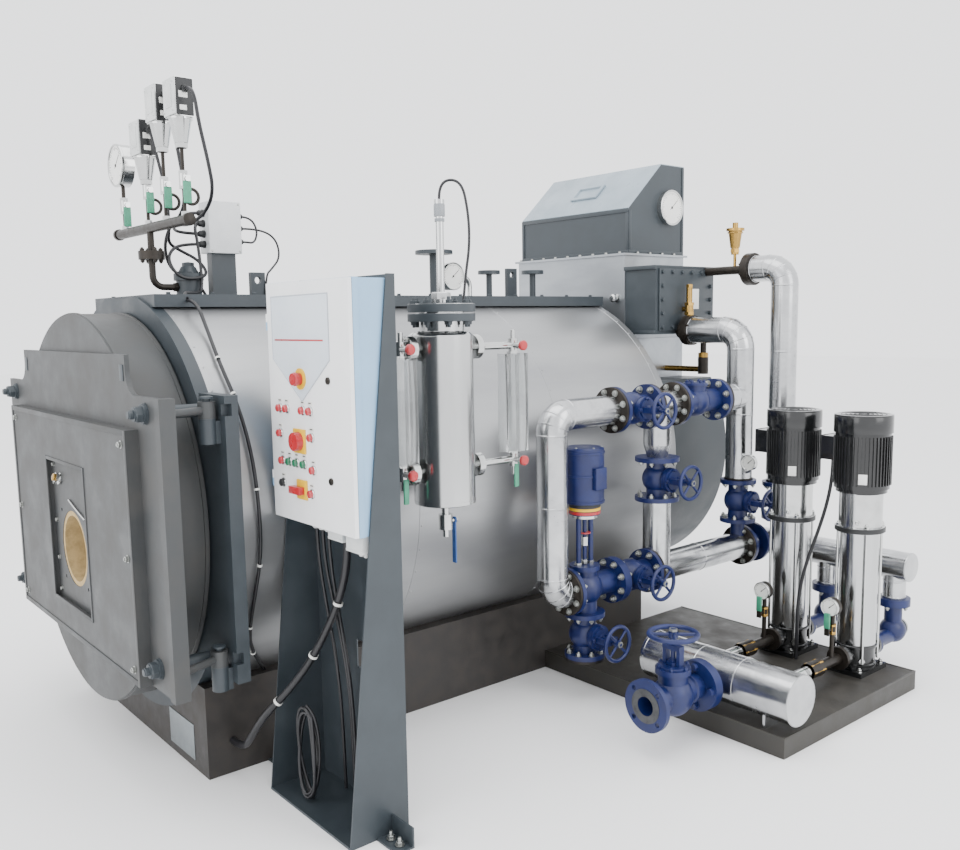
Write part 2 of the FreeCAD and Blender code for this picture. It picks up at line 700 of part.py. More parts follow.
def panel_stand():
    """Folded plate stand: web at the rear, tapered flanges, foot plate and outrigger."""
    web = box(STAND_X0, STAND_X1, STAND_REAR - STAND_T, STAND_REAR, 0, STAND_TOP)
    hatch = box(985, 1145, STAND_REAR - STAND_T - 1, STAND_REAR + 1, 430, 520)
    left = stand_flange(STAND_X0, STAND_X0 + STAND_T)
    right = stand_flange(STAND_X1 - STAND_T, STAND_X1)
    foot = box(STAND_X0, STAND_X1, STAND_FOOT_FRONT, STAND_REAR, 0, STAND_FOOT_T)
    outer = foot_angle(STAND_X1, STAND_X1 + 105)
    inner = foot_angle(BASE_HALF, STAND_X0)
    return fused([web.cut(hatch), left, right, foot, outer, inner])


CAB_X0 = STAND_X0 + STAND_T + CAB_GAP
CAB_X1 = STAND_X1 - STAND_T - CAB_GAP
CAB_REAR = STAND_REAR - STAND_T
CAB_HINGE_X = CAB_X0 - 6
CAB_HINGE_Y = CAB_FRONT + 4
CAB_HINGE_ZS = (CAB_Z0 + 117, CAB_Z1 - 117)


def cabinet_shell():
    """Open-fronted sheet steel case with the fixed leaves and pins of its hinges."""
    front = CAB_FRONT + CAB_DOOR_T
    outer = box(CAB_X0, CAB_X1, front, CAB_REAR, CAB_Z0, CAB_Z1)
    inner = box(CAB_X0 + CAB_WALL, CAB_X1 - CAB_WALL, front - 1, CAB_REAR - CAB_WALL,
                CAB_Z0 + CAB_WALL, CAB_Z1 - CAB_WALL)
    pieces = [outer.cut(inner)]
    for z in CAB_HINGE_ZS:
        low = z - CAB_KNUCKLE_H
        pieces.append(box(CAB_HINGE_X - 1.5, CAB_HINGE_X + 1.5, CAB_HINGE_Y, front + 20, low, z))
        pieces.append(box(CAB_HINGE_X - 1.5, CAB_X0, front + 4, front + 20, low, z))
        pieces.append(rod_z(CAB_HINGE_X, CAB_HINGE_Y, CAB_KNUCKLE_R, low, z))
        pieces.append(rod_z(CAB_HINGE_X, CAB_HINGE_Y, CAB_PIN_R, z - 1, z + CAB_KNUCKLE_H))
    return fused(pieces)


def cabinet_door():
    """Flat folded door, hung on its left edge."""
    pieces = [box(CAB_X0 + 1, CAB_X1, CAB_FRONT, CAB_FRONT + CAB_DOOR_T - 5, CAB_Z0, CAB_Z1)]
    bores = []
    for z in CAB_HINGE_ZS:
        low = z + FIT
        high = z + CAB_KNUCKLE_H
        pieces.append(box(CAB_HINGE_X, CAB_X0 + 1, CAB_HINGE_Y - 1.5, CAB_HINGE_Y + 1.5, low, high))
        pieces.append(rod_z(CAB_HINGE_X, CAB_HINGE_Y, CAB_KNUCKLE_R, low, high))
        bores.append(rod_z(CAB_HINGE_X, CAB_HINGE_Y, CAB_PIN_R + PIN_CLEAR, z, high + 1))
    return fused(pieces).cut(Part.makeCompound(bores))


def cabinet_controls():
    """Emergency stop, two switch handles, the lamps and buttons and the two locks."""
    y = CAB_FRONT
    out = [fused([rod_y(958, 1338, 30, y - 4, y), rod_y(958, 1338, 18, y - 30, y - 4)]),
           fused([box(906, 974, y - 5, y, 1116, 1188), rod_y(940, 1152, 27, y - 26, y - 5)]),
           fused([box(916, 974, y - 5, y, 977, 1035), box(898, 962, y - 24, y - 5, 993, 1015)])]
    for x, z in LAMPS:
        out.append(rod_y(x, z, 11, y - 12, y))
    for z in (1338, 1050):
        out.append(rod_y(1113, z, 9, y - 5, y))
    return Part.makeCompound(out)


def cable_glands():
    """Gland boxes and glands under the cabinet."""
    out = []
    for x0, x1, h in ((1034, 1114, GLAND_BOX_H), (1134, 1219, 52)):
        out.append(box(x0, x1, -886, -804, CAB_Z0 - h, CAB_Z0))
    for x in (896, 931, 966):
        out.append(rod_z(x, -844, 14, CAB_Z0 - 24, CAB_Z0))
    return Part.makeCompound(out)


# ---- level column ------------------------------------------------------------------
def level_bottle():
    """Bottle with its neck and bolted flange pair, on two branch pipes to the shell."""
    x, y = BOTTLE_X, BOTTLE_Y
    pieces = [rod_z(x, y, BOTTLE_R, BOTTLE_Z0, BOTTLE_Z1), rod_z(x, y, NECK_R, BOTTLE_Z1, NECK_Z),
              rod_z(x, y, BOTTLE_FLANGE_R, NECK_Z, NECK_Z + 26),
              rod_z(x, y, BOTTLE_FLANGE_R, NECK_Z + 31, BOTTLE_FLANGE_Z),
              rod_z(x, y, NECK_R, NECK_Z + 25, NECK_Z + 32)]
    for z in COCK_ZS:
        branch = rod_x(y, z, 24, 300, x).cut(shell_solid())
        collar = rod_x(y, z, 52, 772, 796)
        pieces.append(branch)
        pieces.append(collar)
    return fused(pieces)


def level_probe():
    x, y = BOTTLE_X, BOTTLE_Y
    return fused([rod_z(x, y, 30, BOTTLE_FLANGE_Z, BOTTLE_FLANGE_Z + 16),
                  rod_z(x, y, PROBE_R, BOTTLE_FLANGE_Z, PROBE_Z),
                  rod_z(x, y, 17, PROBE_Z, PROBE_CAP_Z)])


def glass_cocks(sign, glass_y):
    """Flanged stubs and cocks that carry one gauge glass."""
    out = []
    near = BOTTLE_Y + sign * BOTTLE_R
    for z in COCK_ZS:
        y0, y1 = sorted((BOTTLE_Y, glass_y))
        arm = rod_y(BOTTLE_X, z, 13, y0, y1)
        a, b = sorted((near + sign * 22, near + sign * 46))
        collar = rod_y(BOTTLE_X, z, 42, a, b)
        body = rod_z(BOTTLE_X, glass_y, 17, z - 24, z + 24)
        knob = rod_x(glass_y, z, 12, BOTTLE_X, BOTTLE_X + 52)
        cock = fused([arm, collar, body, knob])
        out.append(cock.cut(rod_z(BOTTLE_X, BOTTLE_Y, BOTTLE_R, BOTTLE_Z0, BOTTLE_Z1)))
    return out


def level_cocks():
    """The four gauge cocks and the drain cock under the bottle."""
    return Part.makeCompound(glass_cocks(1, GLASS_R_Y) + glass_cocks(-1, GLASS_L_Y) + [drain_cock()])


def gauge_glasses():
    out = []
    for y in (GLASS_R_Y, GLASS_L_Y):
        out.append(box(BOTTLE_X - 14, BOTTLE_X + 14, y - GLASS_W / 2, y + GLASS_W / 2,
                       COCK_ZS[0] + 24, COCK_ZS[1] - 24))
    return Part.makeCompound(out)


def drain_cock():
    x, y = BOTTLE_X, BOTTLE_Y
    return fused([rod_z(x, y, 13, 848, BOTTLE_Z0), rod_z(x, y, 24, 796, 848), rod_z(x, y, 11, 770, 796),
                  rod_y(x, DRAIN_COCK_Z, 8, y, y + 34)])


def drain_lever():
    y = BOTTLE_Y + 34 + FIT
    hub = rod_y(BOTTLE_X, DRAIN_COCK_Z, 12, y, y + 6)
    blade = box(BOTTLE_X - 9, BOTTLE_X + 9, y, y + 5, DRAIN_COCK_Z - 150, DRAIN_COCK_Z)
    return fused([hub, blade])


# ---- skid, pumps and header --------------------------------------------------------
def skid_frame():
    return box(BASE_HALF, SKID_X1, SKID_Y0, SKID_Y1, 0, SKID_H)


def per_pump(make):
    """The same piece on both pumps."""
    return Part.makeCompound([make(x) for x in PUMP_XS])


def pump_casing(x):
    y = PUMP_Y
    foot = box(x - 80, x + 80, y - 100, y + 100, SKID_H, SKID_H + 20)
    bowl = rod_z(x, y, PUMP_BODY_R, SKID_H + 20, PUMP_SLEEVE_Z0)
    ports = rod_y(x, PUMP_PORT_Z, 34, y - PUMP_PORT_HALF, y + PUMP_PORT_HALF)
    near = rod_y(x, PUMP_PORT_Z, 46, y - PUMP_PORT_HALF, y - PUMP_PORT_HALF + 16)
    far = rod_y(x, PUMP_PORT_Z, 46, y + PUMP_PORT_HALF - 16, y + PUMP_PORT_HALF)
    return fused([foot, bowl, ports, near, far])


def pump_sleeve(x):
    y = PUMP_Y
    sleeve = rod_z(x, y, PUMP_BODY_R, PUMP_SLEEVE_Z0, PUMP_RING_Z)
    ring = rod_z(x, y, 92, PUMP_RING_Z, PUMP_RING_Z + 22)
    head = rod_z(x, y, 80, PUMP_RING_Z + 22, PUMP_HEAD_Z)
    return fused([sleeve, ring, head])


def pump_motor(x):
    y = PUMP_Y
    flange = rod_z(x, y, 96, PUMP_HEAD_Z, PUMP_HEAD_Z + 16)
    body = rod_z(x, y, MOTOR_R, PUMP_HEAD_Z + 16, MOTOR_TOP - 70)
    cowl = rod_z(x, y, MOTOR_R + 6, MOTOR_TOP - 70, MOTOR_TOP)
    terminal = box(x - 148, x - 60, y - 55, y + 55, PUMP_HEAD_Z + 120, PUMP_HEAD_Z + 215)
    return fused([flange, body, cowl, terminal])


def suction_header():
    """Clad header along the skid's near edge, on two saddles."""
    body = rod_x(HEADER_Y, HEADER_Z, HEADER_R, HEADER_X0, HEADER_X1)
    feet = [box(x - 5, x + 5, HEADER_Y - 60, HEADER_Y + 60, SKID_H, HEADER_Z) for x in (1210, 1640)]
    return fused([body] + feet)


def suction_branches():
    """From the header to each pump: stub, ball valve and flange, with gauge and lever."""
    out = []
    for x in PUMP_XS:
        y0 = HEADER_Y
        y1 = PUMP_Y - PUMP_PORT_HALF
        z = PUMP_PORT_Z
        run = rod_y(x, z, 21, y0, y1)
        valve = rod_y(x, z, 31, y1 - 230, y1 - 150)
        flange = rod_y(x, z, 46, y1 - 16, y1)
        stem = rod_z(x, y1 - 62, 9, z, 330)
        dial = rod_y(x, 372, 36, y1 - 84, y1 - 56)
        link = rod_z(x, y1 - 62, 8, 330, 345)
        cock = rod_z(x, y1 - 62, 15, 262, 300)
        spindle = rod_y(x, 281, 6, y1 - 100, y1 - 62)
        lever = box(x - 10, x + 10, y1 - 104, y1 - 99, 262, 350)
        branch = fused([run, valve, flange, stem, dial, link, cock, spindle, lever])
        out.append(branch.cut(rod_x(HEADER_Y, HEADER_Z, HEADER_R, HEADER_X0, HEADER_X1)))
    return Part.makeCompound(out)


def main_valve():
    """Globe valve on the header: two flanges, body, bonnet and yoke, its inlet open."""
    x, z = MAIN_X, HEADER_Z
    mid = MAIN_Y0 + MAIN_FACE_TO_FACE / 2
    rear = MAIN_Y0 + MAIN_FACE_TO_FACE
    pieces = [rod_y(x, z, FLANGE_R, MAIN_Y0, MAIN_Y0 + FLANGE_T),
              rod_y(x, z, FLANGE_R, rear - FLANGE_T, rear + FLANGE_T),
              rod_y(x, z, 46, MAIN_Y0 + 5, HEADER_Y),
              Part.makeSphere(72, V(x, mid, z)),
              rod_z(x, mid, 52, z, z + 112),
              rod_z(x, mid, 62, z + 84, z + 104)]
    for dx in (-30, 30):
        pieces.append(box(x + dx - 7, x + dx + 7, mid - 12, mid + 12, z + 104, z + 178))
    pieces.append(box(x - 37, x + 37, mid - 14, mid + 14, z + 168, z + 184))
    pieces.append(rod_z(x, mid, 9, z + 100, MAIN_WHEEL_Z + 20))
    body = fused(pieces)
    body = body.cut(rod_y(x, z, MAIN_BORE_R, MAIN_Y0 - 1, MAIN_Y0 + MAIN_BORE_DEPTH))
    for i in range(4):
        turn = math.radians(45 + 90 * i)
        body = body.cut(rod_y(x + MAIN_PCD / 2 * math.cos(turn), z + MAIN_PCD / 2 * math.sin(turn),
                              MAIN_HOLE_R, MAIN_Y0 - 1, MAIN_Y0 + FLANGE_T + 1))
    header = rod_x(HEADER_Y, HEADER_Z, HEADER_R, HEADER_X0, HEADER_X1)
    return body.cut(header)


def handwheel(r, rim_r, hub_r, hub_h, bore_r):
    """A handwheel in its own frame: spindle along +Z, rim centred on the origin."""
    rim = Part.makeTorus(r - rim_r, rim_r)
    hub = rod_z(0, 0, hub_r, -hub_h / 2, hub_h / 2)
    spokes = []
    for i in range(4):
        spoke = rod_x(0, 0, rim_r * 0.7, hub_r * 0.6, r - rim_r)
        spoke.rotate(V(0, 0, 0), V(0, 0, 1), 90 * i + 45)
        spokes.append(spoke)
    wheel = fused([rim, hub] + spokes)
    return wheel.cut(rod_z(0, 0, bore_r + PIN_CLEAR, -hub_h, hub_h))


def wheel_z(x, y, z, r):
    wheel = handwheel(r, 9, 17, 22, 9)
    wheel.translate(V(x, y, z))
    return wheel


def wheel_x(y, z):
    wheel = handwheel(WHEEL_R, 7.5, 14, 20, 7)
    wheel.rotate(V(0, 0, 0), V(0, 1, 0), 90)
    wheel.translate(V(LINE_X + WHEEL_OFF, y, z))
    return wheel


def side_bonnet(y, z):
    """Bonnet, yoke and stem of a globe valve whose handwheel faces +X."""
    x = LINE_X
    return [rod_x(y, z, 40, x, x + 92), rod_x(y, z, 50, x + 66, x + 84),
            box(x + 84, x + 142, y - 32, y - 20, z - 11, z + 11),
            box(x + 84, x + 142, y + 20, y + 32, z - 11, z + 11),
            box(x + 134, x + 148, y - 32, y + 32, z - 14, z + 14),
            rod_x(y, z, 7, x + 90, x + WHEEL_OFF + 16)]


# ---- feed pipework -----------------------------------------------------------------
def feed_loop():
    """Clad loop from the control valve up to the first stop valve."""
    x = LINE_X
    start = CONTROL_Y - 60
    return bent_rod([(x, start, LOW_Z), (x, RISER_Y, LOW_Z), (x, RISER_Y, HIGH_Z), (x, UPPER_STOP_Y0, HIGH_Z)],
                    CLAD_R, 70)


def bypass_cladding():
    """Lower clad tee with the line back to the pumps, and the clad tee on the upper line."""
    x = LINE_X
    low = fused([rod_y(x, LOW_Z, CLAD_R, STOP_Y1, LINE_VALVE_Y0),
                 rod_z(x, BYPASS_Y, CLAD_R - 2, LOW_Z, BYPASS_Z0)])
    high = fused([rod_y(x, HIGH_Z, CLAD_R, STOP_Y1, CHECK_Y0),
                  rod_z(x, BYPASS_Y, CLAD_R - 2, BYPASS_Z1 + 50, HIGH_Z),
                  cone_z(x, BYPASS_Y, PIPE_R + 4, CLAD_R - 2, BYPASS_Z1, BYPASS_Z1 + 50)])
    return [low, high]


def feed_riser():
    """Clad riser from the lower valve up to the economizer's feed flange."""
    x = LINE_X
    pipe = bent_rod([(ECO_FACE + 76, FEED_Y, FEED_Z), (x, FEED_Y, FEED_Z), (x, FEED_Y, FEED_VALVE_TOP)],
                    CLAD_R, 85)
    joint = rod_y(x, HIGH_Z, CLAD_R, CHECK_Y1, FEED_Y)
    return fused([pipe, joint])


def outlet_riser():
    """Clad riser from the economizer's outlet flange down to its valve."""
    return bent_rod([(OUTLET_FLANGE_X + 36, OUTLET_Y, OUTLET_Z), (UPPER_X, OUTLET_Y, OUTLET_Z),
                     (UPPER_X, OUTLET_Y, OUTLET_VALVE_TOP)], CLAD_R, 80)


def discharge_manifold():
    """Clad manifold behind the pumps with a riser from each of them."""
    y = DISCHARGE_Y
    bar = rod_x(y, LOW_Z, CLAD_R, LINE_X - CLAD_R, PUMP_XS[1] + 70)
    risers = [rod_z(x, y, 46, DISCHARGE_VALVE_TOP, LOW_Z) for x in PUMP_XS]
    return fused([bar] + risers)


def pipe_cladding():
    """Every length of aluminium-clad pipe."""
    return Part.makeCompound([feed_loop(), feed_riser(), outlet_riser(), discharge_manifold()]
                             + bypass_cladding())


def ball(r, centre):
    """A ball whose poles lie on Y and whose seam faces -X, clear of a valve's bonnet."""
    body = Part.makeSphere(r)
    body.rotate(V(0, 0, 0), V(1, 0, 0), 90)
    body.rotate(V(0, 0, 0), V(0, 0, 1), 180)
    body.translate(centre)
    return body


def valve_y(y0, y1, z, belly):
    """A flanged valve body whose flow runs along Y."""
    x = LINE_X
    return [rod_y(x, z, FLANGE_R, y0, y0 + FLANGE_T), rod_y(x, z, FLANGE_R, y1 - FLANGE_T, y1),
            rod_y(x, z, 50, y0, y1), ball(belly, V(x, (y0 + y1) / 2, z))]


def valve_z(x, y, z0, z1, r):
    """A flanged valve body whose flow runs along Z."""
    return [rod_z(x, y, r, z0, z0 + FLANGE_T), rod_z(x, y, r, z1 - FLANGE_T, z1),
            rod_z(x, y, 44, z0, z1), Part.makeSphere(62, V(x, y, (z0 + z1) / 2))]


def station_valves():
    """Stop, check and bypass valves of the control station and the riser valves."""
    x = LINE_X
    upper = fused(valve_y(UPPER_STOP_Y0, STOP_Y1, HIGH_Z, 66) + side_bonnet(STOP_Y, HIGH_Z))
    check = fused(valve_y(CHECK_Y0, CHECK_Y1, HIGH_Z, 64) + [rod_z(x, CHECK_Y, 46, HIGH_Z, HIGH_Z + 80)])
    lower = fused(valve_y(STOP_Y0, STOP_Y1, LOW_Z, 66) + side_bonnet(STOP_Y, LOW_Z))
    bypass = fused(valve_z(x, BYPASS_Y, BYPASS_Z0, BYPASS_Z1, FLANGE_R) + side_bonnet(BYPASS_Y, BYPASS_VALVE_Z))
    line = fused(valve_y(LINE_VALVE_Y0, DISCHARGE_Y - CLAD_R, LOW_Z, 52))
    line = line.cut(rod_x(DISCHARGE_Y, LOW_Z, CLAD_R, x - 200, x + 200))
    feed = fused(valve_z(x, FEED_Y, FEED_VALVE_BOTTOM, FEED_VALVE_TOP, 80) + side_bonnet(FEED_Y, FEED_VALVE_Z)
                 + [rod_z(x, FEED_Y, 32, LOW_Z, FEED_VALVE_BOTTOM)])
    feed = feed.cut(rod_y(x, LOW_Z, CLAD_R, STOP_Y1, LINE_VALVE_Y0))
    outlet = fused(valve_z(UPPER_X, OUTLET_Y, FEED_VALVE_BOTTOM, OUTLET_VALVE_TOP, 80)
                   + [rod_z(UPPER_X, OUTLET_Y, 32, LOW_Z, FEED_VALVE_BOTTOM)])
    outlet = outlet.cut(rod_x(DISCHARGE_Y, LOW_Z, CLAD_R, x, PUMP_XS[0]))
    return Part.makeCompound([upper, check, lower, bypass, line, feed, outlet])


def economizer_flanges():
    """Black flange pairs and stubs on the header box."""
    feed = fused([rod_x(FEED_Y, FEED_Z, PIPE_R, ECO_FACE, ECO_FACE + 40),
                  rod_x(FEED_Y, FEED_Z, 70, ECO_FACE + 40, ECO_FACE + 76)])
    outlet = fused([rod_x(OUTLET_Y, OUTLET_Z, 20, ECO_FACE, OUTLET_FLANGE_X),
                    rod_x(OUTLET_Y, OUTLET_Z, 74, OUTLET_FLANGE_X, OUTLET_FLANGE_X + 36)])
    return Part.makeCompound([feed, outlet])


def control_valve():
    """Control valve with its yoke, and the drain valve hung below it."""
    x = LINE_X
    y = CONTROL_Y
    body = [rod_y(x, LOW_Z, FLANGE_R, y - 60, y - 60 + FLANGE_T), rod_y(x, LOW_Z, 48, y - 60, STOP_Y0),
            rod_y(x, LOW_Z, FLANGE_R, STOP_Y0 - FLANGE_T, STOP_Y0),
            Part.makeSphere(70, V(x, y + 40, LOW_Z)), rod_z(x, y + 40, 48, 320, LOW_Z + 92),
            rod_z(x, y + 40, 60, LOW_Z + 74, LOW_Z + 92), rod_z(x, y + 40, 8, LOW_Z + 92, ACTUATOR_Z)]
    for dy in (-34, 34):
        body.append(rod_z(x, y + 40 + dy, 10, LOW_Z + 90, ACTUATOR_Z))
    drain = valve_z(x, y + 40, DRAIN_Z - 92, DRAIN_Z + 92, 80) + side_bonnet(y + 40, DRAIN_Z)
    return fused(body + drain)


def control_actuator():
    neck = rod_z(LINE_X, CONTROL_Y + 40, 60, ACTUATOR_Z, ACTUATOR_Z + 46)
    case = rod_z(LINE_X, CONTROL_Y + 40, 76, ACTUATOR_Z + 46, ACTUATOR_TOP)
    return fused([neck, case])


def header_fittings():
    """Air vent on the outlet pipe, safety valve on the header box and the drop pipe below it."""
    pipe = rod_x(OUTLET_Y, OUTLET_Z, 20, ECO_FACE, OUTLET_FLANGE_X)
    vent = fused([rod_z(VENT_X, OUTLET_Y, 7, OUTLET_Z, 1806), rod_z(VENT_X, OUTLET_Y, 18, 1790, 1822),
                  cone_z(VENT_X, OUTLET_Y, 22, 32, 1822, 1900), rod_z(VENT_X, OUTLET_Y, 42, 1900, 1912),
                  rod_z(VENT_X, OUTLET_Y, 13, 1912, 1938)]).cut(pipe)
    x = ECO_FACE + 42
    safety = fused([rod_x(SAFETY_Y, 1540, 12, ECO_FACE, x), rod_z(x, SAFETY_Y, 20, 1510, 1570),
                    rod_z(x, SAFETY_Y, 14, 1570, 1655)])
    drop = fused([rod_z(DROP_X, DROP_Y, 14, 1330, HEADER_BOTTOM), rod_z(DROP_X, DROP_Y, 24, 1228, 1330),
                  rod_x(DROP_Y, 1250, 14, ECO_HALF, DROP_X)])
    return Part.makeCompound([vent, safety, drop])


def discharge_valves():
    """Angle check valves between each pump's discharge port and its riser."""
    out = []
    y = DISCHARGE_Y
    for x in PUMP_XS:
        y0 = PUMP_Y + PUMP_PORT_HALF
        out.append(fused([rod_y(x, PUMP_PORT_Z, 46, y0, y0 + 16), rod_y(x, PUMP_PORT_Z, 30, y0, y),
                          Part.makeSphere(54, V(x, y, PUMP_PORT_Z + 20)),
                          rod_z(x, y, 36, PUMP_PORT_Z + 20, DISCHARGE_VALVE_TOP),
                          rod_z(x, y, 66, DISCHARGE_VALVE_TOP - 32, DISCHARGE_VALVE_TOP)]))
    return Part.makeCompound(out)


# ---- cords -------------------------------------------------------------------------
def on_jacket(turn, y):
    """A point beside the jacket, by its angle from the top."""
    a = math.radians(turn)
    return (CABLE_ROUTE_R * math.sin(a), y, SHELL_Z + CABLE_ROUTE_R * math.cos(a))


def jacket_cable():
    points = [(DECK_HALF, -971, 1584), (368, -971, 1584), on_jacket(37, -976), on_jacket(48, -990),
              on_jacket(60, -978), on_jacket(72, -971), on_jacket(84, -971), on_jacket(96, -970),
              on_jacket(107, -986), on_jacket(118, -985), (606, -938, 408), (528, -862, 312)]
    return cord_rod("jacket_cable", points, 12)


def stand_cable():
    points = [(1074, -846, CAB_Z0 - GLAND_BOX_H), (1074, -846, 790), (1039, -864, 662), (974, -882, 545),
              (904, -902, 440), (836, -940, 345), (768, -985, 262), (708, -1004, 178), (645, -1006, 112),
              (BASE_HALF, -1006, 112)]
    return cord_rod("stand_cable", points, 24)


def probe_cable():
    x = BOTTLE_X
    y = BOTTLE_Y
    points = [(x, y, PROBE_CAP_Z), (x, y, PROBE_CAP_Z + 60), (x + 65, y + 42, PROBE_CAP_Z + 60),
              (x + 84, y + 54, 1850), (x + 86, y + 56, 1745), (x + 72, y + 47, 1645),
              (x + 65, y + 42, BOTTLE_FLANGE_Z)]
    return cord_rod("probe_cable", points, 9)


def switch_cable():
    side = SWITCH_XS[2] + SWITCH_W / 2
    points = [(side, -972, 2265), (side + 40, -972, 2265), (side + 70, -968, 2235), (side + 70, -958, 2150),
              (side + 50, -925, 2040), (side + 8, -890, 1945), (side - 94, -876, 1885), (140, -880, 1855),
              (45, -878, 1862), (0, -848, 1876), (0, JBOX_Y0 - 20, 1876)]
    return cord_rod("switch_cable", points, 12)


def pump_cable():
    x = PUMP_XS[1] - 125
    points = [(x, PUMP_Y, PUMP_HEAD_Z + 120), (x, PUMP_Y, 850), (x - 15, PUMP_Y - 11, 730),
              (x - 45, PUMP_Y - 31, 600), (x - 78, PUMP_Y - 56, 470), (x - 92, PUMP_Y - 78, 340),
              (x - 88, PUMP_Y - 88, 215), (x - 88, PUMP_Y - 88, SKID_H)]
    return cord_rod("pump_cable", points, 14)


def cable_coil():
    """Spare cable tied in an upright coil on the stand's foot."""
    straight = COIL_H - COIL_W
    y = COIL_Y
    half = (COIL_W - COIL_SECTION) / 2
    x0 = COIL_X - half
    x1 = COIL_X + half
    z0 = STAND_FOOT_T + COIL_W / 2
    z1 = z0 + straight
    edges = [Part.LineSegment(V(x0, y, z0), V(x0, y, z1)).toShape(),
             Part.Arc(V(x0, y, z1), V(COIL_X, y, z1 + half), V(x1, y, z1)).toShape(),
             Part.LineSegment(V(x1, y, z1), V(x1, y, z0)).toShape(),
             Part.Arc(V(x1, y, z0), V(COIL_X, y, z0 - half), V(x0, y, z0)).toShape()]
    path = Part.Wire(edges)
    ring = Part.Wire([Part.makeCircle(COIL_SECTION / 2, V(x0, y, z0), V(0, 0, 1))])
    return path.makePipeShell([ring], True, True)


# ---- assembly ----------------------------------------------------------------------
def build():
    """Every node of the assembly, by name."""
    return {
        "base_sides": base_sides(),
        "base_cross_plates": base_cross_plates(),
        "jacket": jacket(),
        "front_ring": front_ring(),
        "tube_plates": tube_plates(),
        "furnace_tube": furnace_tube(),
        "smokebox": smokebox(),
        "deck": deck(),
        "hinge_plates": hinge_plates(),
        "door_drum": door_drum(),
        "door_refractory": door_refractory(),
        "door_strongback": strongback(),
        "burner_plate": burner_plate(),
        "door_clamps": door_clamps(),
        "flue_duct": flue_duct(),
        "economizer_body": economizer_body(),
        "economizer_header": economizer_header(),
        "economizer_flanges": economizer_flanges(),
        "header_fittings": header_fittings(),
        "flue_hood": flue_hood(),
        "dial_gauges": dial_gauges(),
        "deck_nozzles": deck_nozzles(),
        "instrument_manifold": instrument_manifold(),
        "pressure_switches": pressure_switches(),
        "instrument_cocks": instrument_cocks(),
        "junction_box": junction_box(),
        "panel_stand": panel_stand(),
        "cabinet_shell": cabinet_shell(),
        "cable_glands": cable_glands(),
        "cabinet_door": cabinet_door(),
        "cabinet_controls": cabinet_controls(),
        "level_bottle": level_bottle(),
        "level_probe": level_probe(),
        "level_cocks": level_cocks(),
        "gauge_glasses": gauge_glasses(),
        "drain_lever": drain_lever(),
        "skid_frame": skid_frame(),
        "pump_casings": per_pump(pump_casing),
        "pump_sleeves": per_pump(pump_sleeve),
        "pump_motors": per_pump(pump_motor),
        "suction_header": suction_header(),
        "suction_branches": suction_branches(),
        "main_valve": main_valve(),
        "main_valve_wheel": wheel_z(MAIN_X, MAIN_Y0 + MAIN_FACE_TO_FACE / 2, MAIN_WHEEL_Z, MAIN_WHEEL_R),
        "pipe_cladding": pipe_cladding(),
        "station_valves": station_valves(),
        "feed_stop_wheel": wheel_x(STOP_Y, HIGH_Z),
        "bypass_wheel": wheel_x(BYPASS_Y, BYPASS_VALVE_Z),
        "lower_stop_wheel": wheel_x(STOP_Y, LOW_Z),
        "feed_riser_wheel": wheel_x(FEED_Y, FEED_VALVE_Z),
        "drain_valve_wheel": wheel_x(CONTROL_Y + 40, DRAIN_Z),
        "control_valve": control_valve(),
        "control_actuator": control_actuator(),
        "discharge_valves": discharge_valves(),
        "jacket_cable": jacket_cable(),
        "stand_cable": stand_cable(),
        "probe_cable": probe_cable(),
        "switch_cable": switch_cable(),
        "pump_cable": pump_cable(),
        "cable_coil": cable_coil(),
    }


if __name__ == "__main__":
    os.makedirs("parts", exist_ok=True)
    for name, shape in build().items():
        shape.exportStep("parts/" + name + ".step")
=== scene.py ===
import bpy
import math
from mathutils import Matrix, Vector


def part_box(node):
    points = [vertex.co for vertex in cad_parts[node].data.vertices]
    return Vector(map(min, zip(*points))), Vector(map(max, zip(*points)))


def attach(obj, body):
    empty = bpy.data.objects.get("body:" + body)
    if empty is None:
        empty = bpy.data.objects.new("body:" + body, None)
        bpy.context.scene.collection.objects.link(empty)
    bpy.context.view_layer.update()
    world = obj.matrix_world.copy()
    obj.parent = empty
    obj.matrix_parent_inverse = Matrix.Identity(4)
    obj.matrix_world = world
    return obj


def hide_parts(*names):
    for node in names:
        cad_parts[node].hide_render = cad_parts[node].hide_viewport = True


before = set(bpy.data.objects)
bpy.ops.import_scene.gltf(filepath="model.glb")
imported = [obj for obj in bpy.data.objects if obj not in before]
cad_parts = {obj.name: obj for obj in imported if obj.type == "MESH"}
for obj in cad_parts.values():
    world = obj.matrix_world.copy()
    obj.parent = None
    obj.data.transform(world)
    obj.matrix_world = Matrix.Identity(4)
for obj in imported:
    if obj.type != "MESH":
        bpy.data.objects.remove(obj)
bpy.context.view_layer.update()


# ---- Camera -------------------------------------------------------------------------
# A normal lens at a standing person's eye height, off the boiler's front right corner,
# so that the door, the panel and the pump skid all show.
right = Vector((0.6395, 0.7686, -0.0155)).normalized()
ahead = Vector((-0.7638, 0.6330, -0.1265)).normalized()
over = right.cross(ahead).normalized()
camera = bpy.data.objects.new("camera", bpy.data.cameras.new("camera"))
camera.data.sensor_width = 36.0
camera.data.lens = 35.3140875
camera.data.shift_y = 0.0164
camera.data.clip_end = 200.0
turn = Matrix((right, over, -ahead)).transposed().to_4x4()
camera.matrix_world = Matrix.Translation((3.4275, -2.280, 1.500)) @ turn
bpy.context.scene.collection.objects.link(camera)
bpy.context.scene.camera = camera


# ---- Room ---------------------------------------------------------------------------
# Three large soft boxes in a pale room, with a matt floor under the machine.
def linear(code):
    """sRGB hex to a linear colour."""
    parts = [int(code[i:i + 2], 16) / 255.0 for i in (1, 3, 5)]
    return tuple(c / 12.92 if c <= 0.04045 else ((c + 0.055) / 1.055) ** 2.4 for c in parts) + (1.0,)


